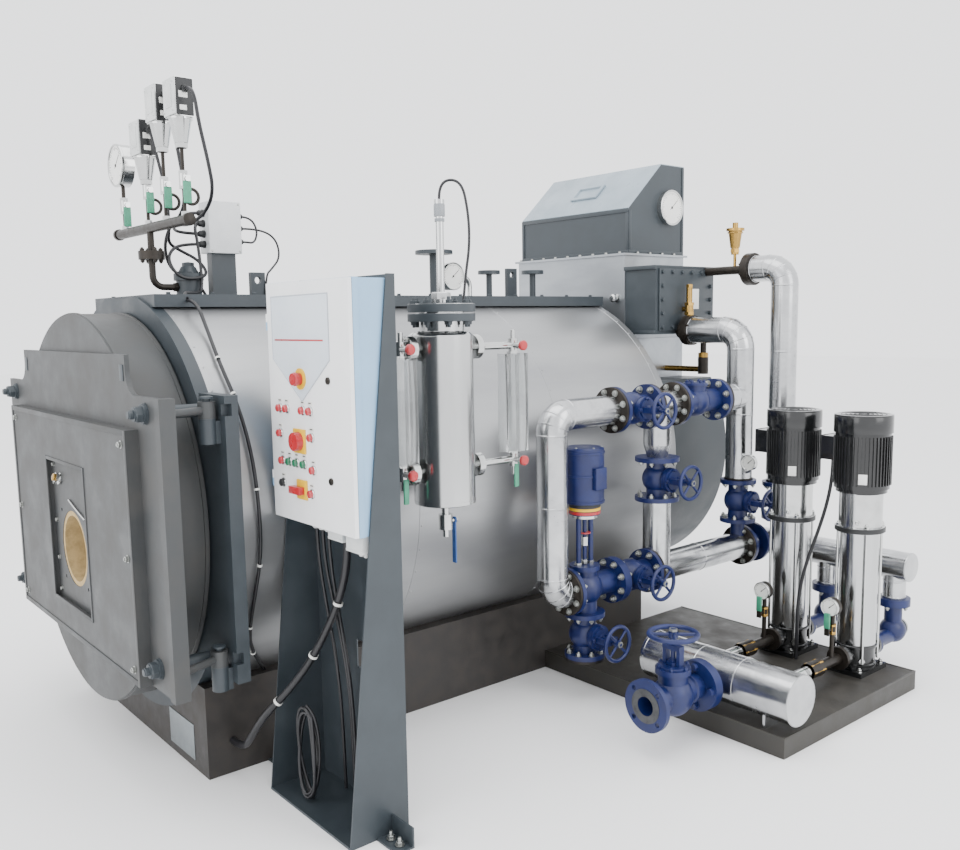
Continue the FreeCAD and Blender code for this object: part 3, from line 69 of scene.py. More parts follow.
def add(tree, kind, settings=None, values=None, links=None):
    """One shader node with its settings, its socket values and what feeds it."""
    made = tree.nodes.new(kind)
    for name, value in (settings or {}).items():
        setattr(made, name, value)
    for name, value in (values or {}).items():
        made.inputs[name].default_value = value
    for name, source in (links or {}).items():
        tree.links.new(source, made.inputs[name])
    return made


def soft_box(name, place, target, size, power):
    """A large rectangular lamp, turned to its target."""
    lamp = bpy.data.lights.new(name, "AREA")
    lamp.shape = "RECTANGLE"
    lamp.size, lamp.size_y = size
    lamp.energy = power
    holder = bpy.data.objects.new(name, lamp)
    holder.location = place
    holder.rotation_euler = (Vector(target) - Vector(place)).to_track_quat("-Z", "Y").to_euler()
    bpy.context.scene.collection.objects.link(holder)


world = bpy.data.worlds.new("pale_room")
world.use_nodes = True
sky = world.node_tree.nodes["Background"]
sky.inputs["Color"].default_value = linear("#f2f3f5")
sky.inputs["Strength"].default_value = 2.5
bpy.context.scene.world = world
soft_box("over_head", (0.6, -0.6, 5.2), (0.4, 0.2, 1.0), (4.5, 3.0), 100.0)
soft_box("from_the_right", (5.0, 1.2, 3.2), (0.8, 0.6, 0.9), (2.2, 3.6), 80.0)
soft_box("from_the_door", (0.8, -5.0, 2.8), (0.2, -1.0, 0.9), (3.6, 2.4), 60.0)

bpy.ops.object.select_all(action="DESELECT")
bpy.ops.mesh.primitive_plane_add(size=60.0, location=(0.0, 0.0, -0.0005))
floor = bpy.context.active_object
floor.name = "floor"
paper = bpy.data.materials.new("matt pale floor paint")
paper.use_nodes = True
paper_bsdf = paper.node_tree.nodes["Principled BSDF"]
paper_bsdf.inputs["Base Color"].default_value = linear("#fafafa")
paper_bsdf.inputs["Roughness"].default_value = 0.9
floor.data.materials.append(paper)


# ---- Cables -------------------------------------------------------------------------
# PVC-sheathed cables: one strapped round the jacket, a bundle down the panel's stand,
# one to the level probe, one from the last pressure switch and one down beside a pump.
def surface(
        name, code, worn, grain, rough, bump=0.02, metallic=0.0, clear=0.0, stretch=(1.0, 1.0, 1.0),
        patch=90.0):
    """A solid finish: grain and patch in mm, rough as (least, most), bump in mm."""
    made = bpy.data.materials.new(name)
    made.use_nodes = True
    tree = made.node_tree
    tree.nodes.clear()
    at = add(tree, "ShaderNodeTexCoord")
    laid = add(tree, "ShaderNodeMapping", values={"Scale": stretch}, links={"Vector": at.outputs["Object"]})
    broad = add(
        tree, "ShaderNodeTexNoise", values={"Scale": 1000.0 / patch, "Detail": 5.0, "Roughness": 0.62},
        links={"Vector": laid.outputs["Vector"]})
    fine = add(
        tree, "ShaderNodeTexNoise", values={"Scale": 1000.0 / grain, "Detail": 3.0},
        links={"Vector": laid.outputs["Vector"]})
    share = add(
        tree, "ShaderNodeMapRange", values={"From Min": 0.42, "From Max": 0.78},
        links={"Value": broad.outputs["Fac"]})
    tint = add(tree, "ShaderNodeMix", {"data_type": "RGBA"}, links={"Factor": share.outputs["Result"]})
    tint.inputs[6].default_value = linear(code)
    tint.inputs[7].default_value = linear(worn)
    sheen = add(
        tree, "ShaderNodeMapRange", values={"From Min": 0.3, "From Max": 0.7, "To Min": rough[0],
            "To Max": rough[1]}, links={"Value": broad.outputs["Fac"]})
    relief = add(
        tree, "ShaderNodeBump", values={"Strength": 0.6, "Distance": bump / 1000.0},
        links={"Height": fine.outputs["Fac"]})
    skin = add(
        tree, "ShaderNodeBsdfPrincipled", values={"Metallic": metallic, "Coat Weight": clear,
            "Coat Roughness": 0.12}, links={"Base Color": tint.outputs[2],
            "Roughness": sheen.outputs["Result"], "Normal": relief.outputs["Normal"]})
    add(tree, "ShaderNodeOutputMaterial", links={"Surface": skin.outputs["BSDF"]})
    return made


# extruded black PVC: smooth and faintly greasy, with soft long highlights
black_pvc = surface("extruded black PVC sheath", "#17171a", "#26262a", 6.0, (0.3, 0.48), 0.05, patch=60.0)


def cord_curve(name, points, diameter, solid):
    """A cable along its route, in place of its solid, which it hides."""
    bpy.ops.object.select_all(action="DESELECT")
    line = bpy.data.curves.new(name, "CURVE")
    line.dimensions = "3D"
    line.bevel_depth = diameter / 2.0
    line.bevel_resolution = 5
    line.use_fill_caps = True
    line.resolution_u = 10
    run = line.splines.new("NURBS")
    run.points.add(len(points) - 1)
    for spot, point in zip(run.points, points):
        spot.co = (point[0] / 1000.0, point[1] / 1000.0, point[2] / 1000.0, 1.0)
    run.order_u = 3
    run.use_endpoint_u = True
    cable = bpy.data.objects.new(name, line)
    bpy.context.scene.collection.objects.link(cable)
    line.materials.append(black_pvc)
    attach(cable, "boiler")
    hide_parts(solid)


def on_jacket(angle, y, radius=768.0):
    """A cable's point on the jacket in mm, by its degrees from the top."""
    a = math.radians(angle)
    return (radius * math.sin(a), y, 865.0 + radius * math.cos(a))


jacket_route = [
    (298, -971, 1584), (368, -971, 1584), on_jacket(37, -976), on_jacket(48, -990), on_jacket(60, -978),
    on_jacket(72, -971), on_jacket(84, -971), on_jacket(96, -970), on_jacket(107, -986),
    on_jacket(118, -985), (606, -938, 408), (528, -862, 312)]
stand_route = [
    (1074, -846, 869), (1074, -846, 790), (1039, -864, 662), (974, -882, 545), (904, -902, 440),
    (836, -940, 345), (768, -985, 262), (708, -1004, 178), (645, -1006, 112), (562, -1006, 112)]
probe_route = [
    (920, -360, 1895), (920, -360, 1955), (985, -318, 1955), (1004, -306, 1850), (1006, -304, 1745),
    (992, -313, 1645), (985, -318, 1557)]
switch_route = [
    (364, -972, 2265), (404, -972, 2265), (434, -968, 2235), (434, -958, 2150), (414, -925, 2040),
    (372, -890, 1945), (270, -876, 1885), (140, -880, 1855), (45, -878, 1862), (0, -848, 1876),
    (0, -785, 1876)]
pump_route = [
    (1430, 1236, 926), (1430, 1236, 850), (1415, 1225, 730), (1385, 1205, 600), (1352, 1180, 470),
    (1338, 1158, 340), (1342, 1148, 215), (1342, 1148, 75)]
cord_curve("jacket_cord", jacket_route, 0.012, "jacket_cable")
cord_curve("stand_cord", stand_route, 0.024, "stand_cable")
cord_curve("probe_cord", probe_route, 0.009, "probe_cable")
cord_curve("switch_cord", switch_route, 0.012, "switch_cable")
cord_curve("pump_cord", pump_route, 0.014, "pump_cable")


# ---- Spare cable and ties -----------------------------------------------------------
# The rest of the supply cable, tied in an upright oval coil on the stand's foot, and
# the white nylon ties on the cable round the jacket and on the bundle.
def alone(thing):
    """Only this object selected and active."""
    bpy.ops.object.select_all(action="DESELECT")
    thing.select_set(True)
    bpy.context.view_layer.objects.active = thing


def fitted(piece, finish, body="boiler", instead=(), angle=35.0):
    """Shades, paints and mounts a finished piece."""
    alone(piece)
    bpy.ops.object.shade_smooth_by_angle(angle=math.radians(angle))
    piece.data.materials.clear()
    piece.data.materials.append(finish)
    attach(piece, body)
    for name in instead:
        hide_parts(name)
    return piece


def swept(name, points, radius, closed=False, sides=4):
    """A round bar or wire through the points, as a mesh."""
    bpy.ops.object.select_all(action="DESELECT")
    line = bpy.data.curves.new(name, "CURVE")
    line.dimensions = "3D"
    line.bevel_depth = radius
    line.bevel_resolution = sides
    line.use_fill_caps = not closed
    line.resolution_u = 6
    run = line.splines.new("NURBS")
    run.points.add(len(points) - 1)
    for spot, point in zip(run.points, points):
        spot.co = (point[0], point[1], point[2], 1.0)
    run.order_u = 3
    run.use_endpoint_u = not closed
    run.use_cyclic_u = closed
    rod = bpy.data.objects.new(name, line)
    bpy.context.scene.collection.objects.link(rod)
    alone(rod)
    bpy.ops.object.convert(target="MESH")
    return bpy.context.active_object


def joined(pieces, name):
    """Several meshes as one piece."""
    bpy.ops.object.select_all(action="DESELECT")
    for piece in pieces:
        piece.select_set(True)
    bpy.context.view_layer.objects.active = pieces[0]
    if len(pieces) > 1:
        bpy.ops.object.join()
    whole = bpy.context.active_object
    whole.name = name
    return whole


def group(name, pieces, finish, body="boiler", angle=35.0):
    """Several meshes as one finished, mounted piece."""
    return fitted(joined(pieces, name), finish, body, angle=angle)


def facing(direction):
    """Turns a piece's own up towards a direction."""
    return Vector(direction).to_track_quat("Z", "Y").to_matrix().to_4x4()


coil_lo, coil_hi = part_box("cable_coil")
coil_mid = (Vector(coil_lo) + Vector(coil_hi)) / 2.0
coil_points = []
coil_turns = 5
per_turn = 16
for i in range(coil_turns * per_turn):
    a = 2.0 * math.pi * i / per_turn
    lap = i / per_turn
    wide = 0.052 + 0.008 * math.sin(2.1 * lap + 0.6)
    tall = 0.142 + 0.009 * math.cos(1.7 * lap)
    coil_points.append(
        (coil_mid.x + wide * math.sin(a), coil_mid.y + 0.0105 * math.sin(1.3 * a + lap),
            coil_mid.z + tall * math.cos(a)))
coil = swept("spare_coil", coil_points, 0.0055)
fitted(coil, black_pvc, instead=["cable_coil"])


def strap(name, route, share, wide, radius):
    """A tie round a cable, at a share of its route."""
    total = share * (len(route) - 1)
    i = min(int(total), len(route) - 2)
    a = Vector(route[i]) / 1000.0
    b = Vector(route[i + 1]) / 1000.0
    spot = a.lerp(b, total - i)
    along = (b - a).normalized()
    bpy.ops.object.select_all(action="DESELECT")
    bpy.ops.mesh.primitive_cylinder_add(vertices=20, radius=radius, depth=wide, end_fill_type="NOTHING")
    band = bpy.context.active_object
    band.name = name
    bpy.ops.object.modifier_add(type="SOLIDIFY")
    band.modifiers["Solidify"].thickness = 0.0016
    band.modifiers["Solidify"].offset = 1.0
    bpy.ops.object.modifier_apply(modifier="Solidify")
    band.data.transform(Matrix.Translation(spot) @ facing(along))
    return band


# moulded nylon 6.6: milky white, slightly waxy
nylon = surface("moulded white nylon", "#e9e9e4", "#d8d8d2", 3.0, (0.35, 0.5))
ties = [strap("tie", jacket_route, s, 0.007, 0.0072) for s in (0.26, 0.34, 0.52, 0.66, 0.8, 0.9)]
ties += [strap("tie", stand_route, s, 0.009, 0.0135) for s in (0.22, 0.4, 0.6)]
group("cable_ties", ties, nylon)


# ---- Shell, base and jacket ----------------------------------------------------------
# A welded steel shell in mineral wool under rolled aluminium sheet, lapped and screwed
# at the rings, lying in saddles on a painted plate base.
def node(name):
    """A CAD node by its name."""
    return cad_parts[name]


def painted(name, finish):
    """Gives a CAD node its finish."""
    piece = node(name)
    for i in range(len(piece.data.materials)):
        piece.data.materials[i] = finish
    if not piece.data.materials:
        piece.data.materials.append(finish)


up, down = (0, 0, 1), (0, 0, -1)
to_right, to_rear, to_door = (1, 0, 0), (0, 1, 0), (0, -1, 0)


def turned(name, profile, foot, along, steps=32):
    """A lathe-turned piece: profile as (radius, height) from its foot, along an axis. Six steps
    make a hexagon."""
    bpy.ops.object.select_all(action="DESELECT")
    outline = bpy.data.meshes.new(name)
    outline.from_pydata([(r, 0, h) for r, h in profile], [(i, i + 1) for i in range(len(profile) - 1)], [])
    piece = bpy.data.objects.new(name, outline)
    bpy.context.scene.collection.objects.link(piece)
    alone(piece)
    bpy.ops.object.mode_set(mode="EDIT")
    bpy.ops.mesh.select_all(action="SELECT")
    bpy.ops.mesh.spin(steps=steps, angle=2 * math.pi, center=(0, 0, 0), axis=up)
    bpy.ops.mesh.select_all(action="SELECT")
    bpy.ops.mesh.remove_doubles(threshold=0.00001)
    bpy.ops.mesh.normals_make_consistent(inside=False)
    bpy.ops.object.mode_set(mode="OBJECT")
    where = Matrix.Translation(foot) @ facing(along)
    piece.data.transform(where)
    return piece


def disc(name, radius, height, foot, along, steps=32):
    """A plain disc, or with six steps a hexagon."""
    return turned(name, [(0, 0), (radius, 0), (radius, height), (0, height)], foot, along, steps)


def tube(name, bore, radius, height, foot, along, steps=32):
    """A plain ring or sleeve."""
    return turned(name, [(bore, 0), (radius, 0), (radius, height), (bore, height)], foot, along, steps)


def trimmed(piece, place, away):
    """The piece with what lies past a plane cut off."""
    alone(piece)
    bpy.ops.object.mode_set(mode="EDIT")
    bpy.ops.mesh.select_all(action="SELECT")
    bpy.ops.mesh.bisect(plane_co=place, plane_no=away, clear_outer=True)
    bpy.ops.object.mode_set(mode="OBJECT")
    return piece


def block(name, low, high, edge=0.0, rounds=2):
    """A block between two corners with its edges eased."""
    bpy.ops.object.select_all(action="DESELECT")
    middle = [(a + b) / 2 for a, b in zip(low, high)]
    bpy.ops.mesh.primitive_cube_add(size=1, location=middle)
    piece = bpy.context.active_object
    piece.name = name
    piece.scale = [b - a for a, b in zip(low, high)]
    bpy.ops.object.transform_apply(location=True, rotation=True, scale=True)
    if edge:
        bpy.ops.object.modifier_add(type="BEVEL")
        piece.modifiers["Bevel"].width = edge
        piece.modifiers["Bevel"].segments = rounds
        bpy.ops.object.modifier_apply(modifier="Bevel")
    return piece


def hex_bolt(name, foot, along, across, head, washer=True, stud=0.0):
    """A hexagon head on its washer, with any thread that stands out of it."""
    r = across / 2 / math.cos(math.radians(30))
    base = 0
    pieces = []
    if washer:
        pieces.append(disc(name, r * 1.28, across * 0.09, foot, along, 20))
        base = across * 0.09
    pieces.append(turned(
        name, [(0, base), (r, base), (r, base + head * 0.86), (r * 0.86, base + head), (0, base + head)],
        foot, along, 6))
    if stud:
        s = across * 0.3
        pieces.append(turned(
            name, [(0, base + head), (s, base + head), (s, base + head + stud * 0.8),
                (s * 0.8, base + head + stud), (0, base + head + stud)], foot, along, 12))
    return joined(pieces, name)


def copied(source, moves):
    """The source and its copies, each moved by a matrix, as one list."""
    made = []
    for move in moves:
        twin = source.copy()
        twin.data = source.data.copy()
        twin.data.transform(move)
        bpy.context.scene.collection.objects.link(twin)
        made.append(twin)
    bpy.data.objects.remove(source)
    return made


# half a step round a ring of four or of eight bolts, in radians
straddle_4, straddle_8 = 0.785, 0.39


def bolt_ring(name, centre, along, pitch_r, count, across, head, start=0.0, stud=0.0):
    """Hexagon heads round a circle."""
    axis = Vector(along).normalized()
    side = axis.orthogonal().normalized()
    first = Vector(centre) + Matrix.Rotation(start, 4, axis) @ side * pitch_r
    bolt = hex_bolt(name, first, axis, across, head, stud=stud)
    moves = []
    for i in range(count):
        spin = Matrix.Rotation(2 * math.pi * i / count, 4, axis)
        moves.append(Matrix.Translation(centre) @ spin @ Matrix.Translation(-Vector(centre)))
    return joined(copied(bolt, moves), name)


# rolled 1050 aluminium sheet, mill finish: pale, satin, drawn round the shell with faint rolling streaks
jacket_sheet = surface(
    "mill finish aluminium sheet", "#a6a7a8", "#96979a", 2.2, (0.30, 0.42), 0.03, metallic=0.82,
    stretch=(1.0, 0.16, 1.0), patch=240.0)
# brushed-on bitumen-black enamel over plate: dull, with dust grey where it has been handled
base_enamel = surface(
    "brushed black-brown enamel", "#2b2826", "#3c3733", 2.6, (0.45, 0.72), 0.14, patch=70.0)
# sprayed anthracite industrial enamel on mill-scale plate: fine orange peel, faint scuffs
dark_enamel = surface(
    "sprayed dark grey enamel", "#2f363b", "#3a4146", 2.0, (0.36, 0.58), 0.09, patch=120.0)
# a warmer, duller grey on the door, which has seen heat and grinding dust
door_enamel = surface(
    "sprayed warm grey enamel", "#3a3c3d", "#474644", 1.8, (0.42, 0.66), 0.12, patch=150.0)
# boiler plate, sooted: nearly black, dry and rough
sooted = surface("sooted boiler plate", "#2a2725", "#3d3733", 4.0, (0.75, 0.92), 0.3, patch=60.0)
painted("jacket", jacket_sheet)
painted("base_sides", base_enamel)
painted("base_cross_plates", base_enamel)
painted("front_ring", dark_enamel)
painted("hinge_plates", dark_enamel)
painted("smokebox", dark_enamel)
painted("deck", dark_enamel)
painted("tube_plates", sooted)
painted("furnace_tube", sooted)

jacket_lo, jacket_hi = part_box("jacket")
shell_z = 0.865
shell_r = jacket_hi[0]
lap_places = (jacket_lo[1] + 0.012, jacket_lo[1] + 0.72, jacket_lo[1] + 1.44, jacket_hi[1] - 0.03)
deck_cut = (0, 0, 1.575)
laps = []
for y in lap_places:
    band = turned(
        "jacket_lap", [(shell_r + 0.0001, -0.011), (shell_r + 0.0013, -0.01), (shell_r + 0.0013, 0.01),
            (shell_r + 0.0001, 0.011)], (0, y, shell_z), to_rear, 180)
    laps.append(trimmed(band, deck_cut, up))
screw = turned("jacket_screw", [(0, 0.0024), (0.003, 0.002), (0.0045, 0)], (0, 0, 0), up, 8)
moves = []
for y in lap_places:
    for i in range(-9, 10):
        a = math.radians(90 + i * 7)
        for s in (-1, 1):
            out = Vector((s * math.sin(a), 0, math.cos(a)))
            spot = Vector((0, y, shell_z)) + out * (shell_r + 0.0011)
            moves.append(Matrix.Translation(spot) @ facing(out))
group("jacket_laps", laps, jacket_sheet)
group("jacket_screws", copied(screw, moves), jacket_sheet)

# ends of the fire tubes in the front tube plate, round and above the furnace mouth
tube_pitch = 0.072
tube_end = turned(
    "fire_tube_end", [(0.0215, -0.012), (0.0215, 0.003), (0.0255, 0.004), (0.027, 0)], (0, 0, 0), to_door,
    14)
moves = []
for row in range(7):
    z = 1.075 + row * 0.064
    reach = math.sqrt(0.6 ** 2 - (z - shell_z) ** 2)
    many = int(reach * 2 / tube_pitch)
    for i in range(many):
        moves.append(Matrix.Translation(((i - (many - 1) / 2) * tube_pitch, jacket_lo[1], z)))
group("fire_tube_ends", copied(tube_end, moves), sooted)

# blank riveted plate on the base's front
plate_paint = surface(
    "anodised aluminium plate", "#8d9396", "#7d8386", 1.5, (0.35, 0.5), 0.02, metallic=0.7)
front_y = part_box("base_sides")[0][1]
tag = block("base_plate", (0.245, front_y - 0.0025, 0.031), (0.455, front_y, 0.157), 0.001)
rivets = [
    turned("rivet", [(0, 0.0022), (0.003, 0.0018), (0.0042, 0)], (x, front_y - 0.0025, z), to_door, 10)
    for x in (0.257, 0.443)
    for z in (0.043, 0.145)]
group("base_plate", [tag] + rivets, plate_paint)

# deck: folded edge channel, bolted to the shell's flat with a row of screws each side
deck_lo, deck_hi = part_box("deck")
deck_z = 1.605
bolt = hex_bolt("deck_bolt", (0, 0, 0), up, 0.013, 0.007)
moves = [
    Matrix.Translation((s * (deck_hi[0] - 0.028), deck_lo[1] + 0.06 + i * 0.1584, deck_z))
    for s in (-1, 1) for i in range(14)]
group("deck_bolts", copied(bolt, moves), dark_enamel)


# ---- Front door ----------------------------------------------------------------------
# A round steel drum filled with castable refractory, carried by a flame-cut strongback
# plate. It hangs on two pins at the right and is pulled up by four studs and nuts.
# cast refractory: sandy, pitted, dry
refractory = surface("cast refractory concrete", "#b39a6c", "#8f7a55", 3.5, (0.85, 0.97), 1.2, patch=30.0)
for name in ("door_drum", "door_strongback", "burner_plate"):
    painted(name, door_enamel)
painted("door_refractory", refractory)
painted("door_clamps", dark_enamel)
burner_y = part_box("burner_plate")[0][1]
recess_y = burner_y + 0.018
drum_r = 0.68
throat_z = 0.722
drum_lo, drum_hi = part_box("door_drum")
# rolled edge angle round the drum's front and back
rims = []
for y in (drum_lo[1] + 0.006, drum_hi[1] - 0.016):
    rims.append(turned(
        "drum_rim", [(drum_r, 0), (drum_r + 0.004, 0.0015), (drum_r + 0.004, 0.0105), (drum_r, 0.012)],
        (0, y, shell_z), to_rear, 128))
group("drum_rims", rims, door_enamel, "front_door_leaf")
# refractory lining in the burner throat
lining = turned(
    "throat_lining", [(0.1349, 0), (0.1349, 0.2), (0.118, 0.2), (0.118, 0), (0.1349, 0)],
    (0, burner_y + 0.02, throat_z), to_rear, 64)
fitted(lining, refractory, "front_door_leaf")
# frame of flat bar welded round the burner plate and round its recess
bars = []
y0 = burner_y - 0.0035
for x0, x1, z0, z1 in (
        (-0.217, -0.205, 0.507, 1.037), (0.205, 0.217, 0.507, 1.037), (-0.205, 0.205, 1.025, 1.037),
        (-0.205, 0.205, 0.507, 0.519)):
    bars.append(block("recess_bar", (x0, y0, z0), (x1, y0 + 0.006, z1), 0.0012))
for x0, x1, z0, z1 in (
        (-0.64, -0.622, 0.403, 1.195), (0.622, 0.64, 0.403, 1.195), (-0.622, 0.622, 1.177, 1.195),
        (-0.622, 0.622, 0.403, 0.421)):
    bars.append(block("plate_bar", (x0, y0, z0), (x1, y0 + 0.005, z1), 0.0012))
group("burner_plate_bars", bars, door_enamel, "front_door_leaf")
# studs and nuts
zinc = surface("zinc plated steel", "#a9aba8", "#8b8c86", 2.0, (0.28, 0.42), 0.02, metallic=0.9)
nuts = []
for x in (-0.185, 0.185):
    for z in (0.54, 0.66, 0.8, 0.94, 1.005):
        nuts.append(hex_bolt("recess_nut", (x, recess_y, z), to_door, 0.013, 0.007))
for x in (-0.595, 0.595):
    for z in (0.45, 0.8, 1.15):
        nuts.append(hex_bolt("plate_nut", (x, y0 + 0.0035, z), to_door, 0.017, 0.009, stud=0.003))
group("door_nuts", nuts, zinc, "front_door_leaf")
clamp_nuts = []
for x in (-0.706, 0.706):
    for z in (0.475, 1.246):
        clamp_nuts.append(hex_bolt("clamp_nut", (x, -1.288, z), to_door, 0.044, 0.03, stud=0.016))
group("clamp_nuts", clamp_nuts, dark_enamel, "front_door_leaf")
# short pressed ribs near the strongback's upper corners
ribs = [
    block("corner_rib", (s * 0.53 - 0.016, -1.2905, 1.335), (s * 0.53 + 0.016, -1.2875, 1.385), 0.001)
    for s in (-1, 1)]
group("corner_ribs", ribs, dark_enamel, "front_door_leaf")
# sight glass nipple in the recess, brass and steel, pointing forward and a little up
brass = surface("machined brass", "#b08d4c", "#9a7a40", 1.2, (0.2, 0.36), 0.02, metallic=1.0)
steel = surface(
    "polished stainless steel", "#c9cac9", "#b9bab8", 1.4, (0.1, 0.2), 0.01, metallic=1.0, patch=50.0)
nipple = turned(
    "sight_nipple", [(0, 0), (0.024, 0), (0.024, 0.004), (0.013, 0.005), (0.013, 0.01), (0.017, 0.011),
        (0.017, 0.018), (0, 0.019)], (-0.12, recess_y, 0.962), (0, -1, 0.25), 24)
fitted(nipple, steel, "front_door_leaf")
cap = turned(
    "sight_cap", [(0, 0.018), (0.015, 0.018), (0.015, 0.024), (0.01, 0.027), (0, 0.027)],
    (-0.12, recess_y, 0.962), (0, -1, 0.25), 6)
fitted(cap, brass, "front_door_leaf")
rod = swept(
    "recess_rod", [(-0.02, recess_y - 0.004, 0.895), (0.06, recess_y - 0.006, 0.872),
        (0.15, recess_y - 0.004, 0.848)], 0.0035)
fitted(rod, steel, "front_door_leaf")
# caps of the hinge pins
pin_x, pin_y = 0.77, -1.128
caps = []
for z in (0.487, 1.25):
    caps.append(turned(
        "pin_cap", [(0, 0), (0.02, 0), (0.02, 0.006), (0.012, 0.008), (0, 0.008)],
        (pin_x, pin_y, z + 0.0335), up, 24))
group("pin_caps", caps, dark_enamel)


# ---- Flue side: duct, economizer and hood ---------------------------------------------
# Sheet steel casings bolted flange to flange over the smokebox: a bright clad duct and
# economizer body with its dark water header, and a painted hood with a sloping lid.
# bright aluminium casing sheet with a soft grain
casing_sheet = surface(
    "bright aluminium casing sheet", "#a5a9ad", "#92969b", 2.0, (0.26, 0.4), 0.02, metallic=0.85,
    stretch=(0.25, 1.0, 1.0), patch=160.0)
# paler sheet of the hood's lid
lid_paint = surface(
    "pale blue-grey stoved enamel", "#93a1ab", "#84929c", 2.0, (0.25, 0.4), 0.03, patch=140.0)
painted("flue_duct", casing_sheet)
painted("economizer_body", casing_sheet)
painted("economizer_header", dark_enamel)
painted("flue_hood", dark_enamel)
eco_lo, eco_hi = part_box("economizer_body")
header_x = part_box("economizer_header")[1][0]
small = hex_bolt("casing_bolt", (0, 0, 0), up, 0.012, 0.007)
moves = []
inset = 0.007
for i in range(9):
    x = eco_lo[0] + 0.04 + i * (eco_hi[0] - eco_lo[0] - 0.08) / 8
    moves.append(Matrix.Translation((x, eco_lo[1] + inset, eco_hi[2])))
for i in range(1, 5):
    y = eco_lo[1] + inset + i * (eco_hi[1] - eco_lo[1] - 2 * inset) / 5
    for x in (eco_lo[0] + inset, eco_hi[0] - inset):
        moves.append(Matrix.Translation((x, y, eco_hi[2])))
group("casing_bolts", copied(small, moves), zinc)
# the hood: hemmed lid panel, front panel frame and a recessed pull
lid_foot, lid_head = Vector((0, 1.188, 2.018)), Vector((0, 1.425, 2.24))
slope = lid_head - lid_foot
leaning = Matrix.Rotation(math.atan2(slope.z, slope.y), 4, "X")
lid = block("hood_lid", (-0.372, 0, -0.001), (0.372, slope.length, 0.004), 0.0015)
lid.data.transform(Matrix.Translation(lid_foot) @ leaning)
flat = block("hood_top", (-0.372, 1.425, 2.239), (0.372, 1.6, 2.244), 0.0015)
group("hood_lid", [lid, flat], lid_paint)
middle = (lid_foot + lid_head) / 2 + Vector((0, -slope.z, slope.y)).normalized() * 0.004
pull = block("hood_pull", (-0.09, -0.05, 0), (0.09, 0.05, 0.012), 0.004)
alone(pull)
bpy.ops.object.mode_set(mode="EDIT")
bpy.ops.mesh.select_all(action="DESELECT")
bpy.ops.object.mode_set(mode="OBJECT")
for face in pull.data.polygons:
    face.select = face.normal.z > 0.98 and face.area > 0.005
bpy.ops.object.mode_set(mode="EDIT")
bpy.ops.mesh.select_mode(type="FACE")
bpy.ops.mesh.inset(thickness=0.012, depth=0)
bpy.ops.mesh.inset(thickness=0.003, depth=-0.009)
bpy.ops.object.mode_set(mode="OBJECT")
pull.data.transform(Matrix.Translation(middle) @ leaning)
fitted(pull, lid_paint)
frames = []
for x0, x1, y0, y1, z0, z1 in (
        (-0.374, 0.374, 1.184, 1.188, 1.808, 1.826), (-0.374, 0.374, 1.184, 1.188, 2.000, 2.018),
        (-0.374, -0.356, 1.184, 1.188, 1.826, 2.000), (0.356, 0.374, 1.184, 1.188, 1.826, 2.000)):
    frames.append(block("hood_frame", (x0, y0, z0), (x1, y1, z1), 0.001))
for y0, y1, z0, z1 in (
        (1.19, 1.598, 1.808, 1.826), (1.19, 1.208, 1.826, 2.01), (1.582, 1.598, 1.826, 2.236)):
    frames.append(block("hood_frame", (0.372, y0, z0), (0.3755, y1, z1), 0.001))
group("hood_frames", frames, dark_enamel)
# knob of the inspection cover on the economizer
knob = turned(
    "casing_knob", [(0, 0), (0.02, 0), (0.02, 0.006), (0.01, 0.008), (0.01, 0.022), (0.019, 0.026),
        (0.019, 0.038), (0.012, 0.044), (0, 0.044)], (0.33, 1.16, 1.597), to_door, 20)
fitted(knob, steel)
# header box: cover plate with its bolts on the outer face, and the front plate's bolts
cover = [block("header_cover", (header_x, 1.185, 1.44), (header_x + 0.008, 1.585, 1.728), 0.0015)]
edge_bolt = hex_bolt("header_bolt", (0, 0, 0), to_right, 0.016, 0.009)
moves = []
for i in range(6):
    y = 1.205 + i * 0.072
    for z in (1.456, 1.712):
        moves.append(Matrix.Translation((header_x + 0.008, y, z)))
for z in (1.52, 1.584, 1.648):
    for y in (1.205, 1.565):
        moves.append(Matrix.Translation((header_x + 0.008, y, z)))
cover += copied(edge_bolt, moves)
cover.append(block("header_rim", (0.375, 1.153, 1.724), (header_x + 0.004, 1.165, 1.742), 0.001))
cover.append(block("header_rim", (0.375, 1.153, 1.424), (header_x + 0.004, 1.165, 1.442), 0.001))
group("header_cover", cover, dark_enamel)
card = block("header_plate", (header_x + 0.0075, 1.425, 1.54), (header_x + 0.0095, 1.475, 1.635), 0.0006)
white_plate = surface("white lacquered plate", "#e6e6e2", "#d6d6d0", 2.0, (0.4, 0.5))
fitted(card, white_plate)


# ---- Instruments over the deck --------------------------------------------------------
# Three pressure switches, a pressure gauge and their cocks on a steel manifold pipe,
# fed from the steam nozzle; screwed and bolted steel and brass fittings.
# weathered steel pipe, lacquered brown-black: faint mill scale and handling marks
dark_iron = surface(
    "oiled black iron pipe", "#27231f", "#38322c", 2.4, (0.32, 0.52), 0.06, metallic=0.55, patch=35.0)
# die-cast covers of the switches, light grey stoved paint
pale_cast = surface("light grey stoved casting", "#d3d5d4", "#bfc2c1", 1.6, (0.36, 0.5), 0.05, patch=60.0)
# glass-filled black moulding
black_mould = surface("black moulded case", "#191a1b", "#27282a", 1.4, (0.35, 0.55), 0.05, patch=40.0)
# green PVC dipped on lever handles: soft, thick, slightly uneven
green_grip = surface("green vinyl dipped grip", "#3f9172", "#367e62", 3.0, (0.38, 0.52), 0.06, patch=25.0)
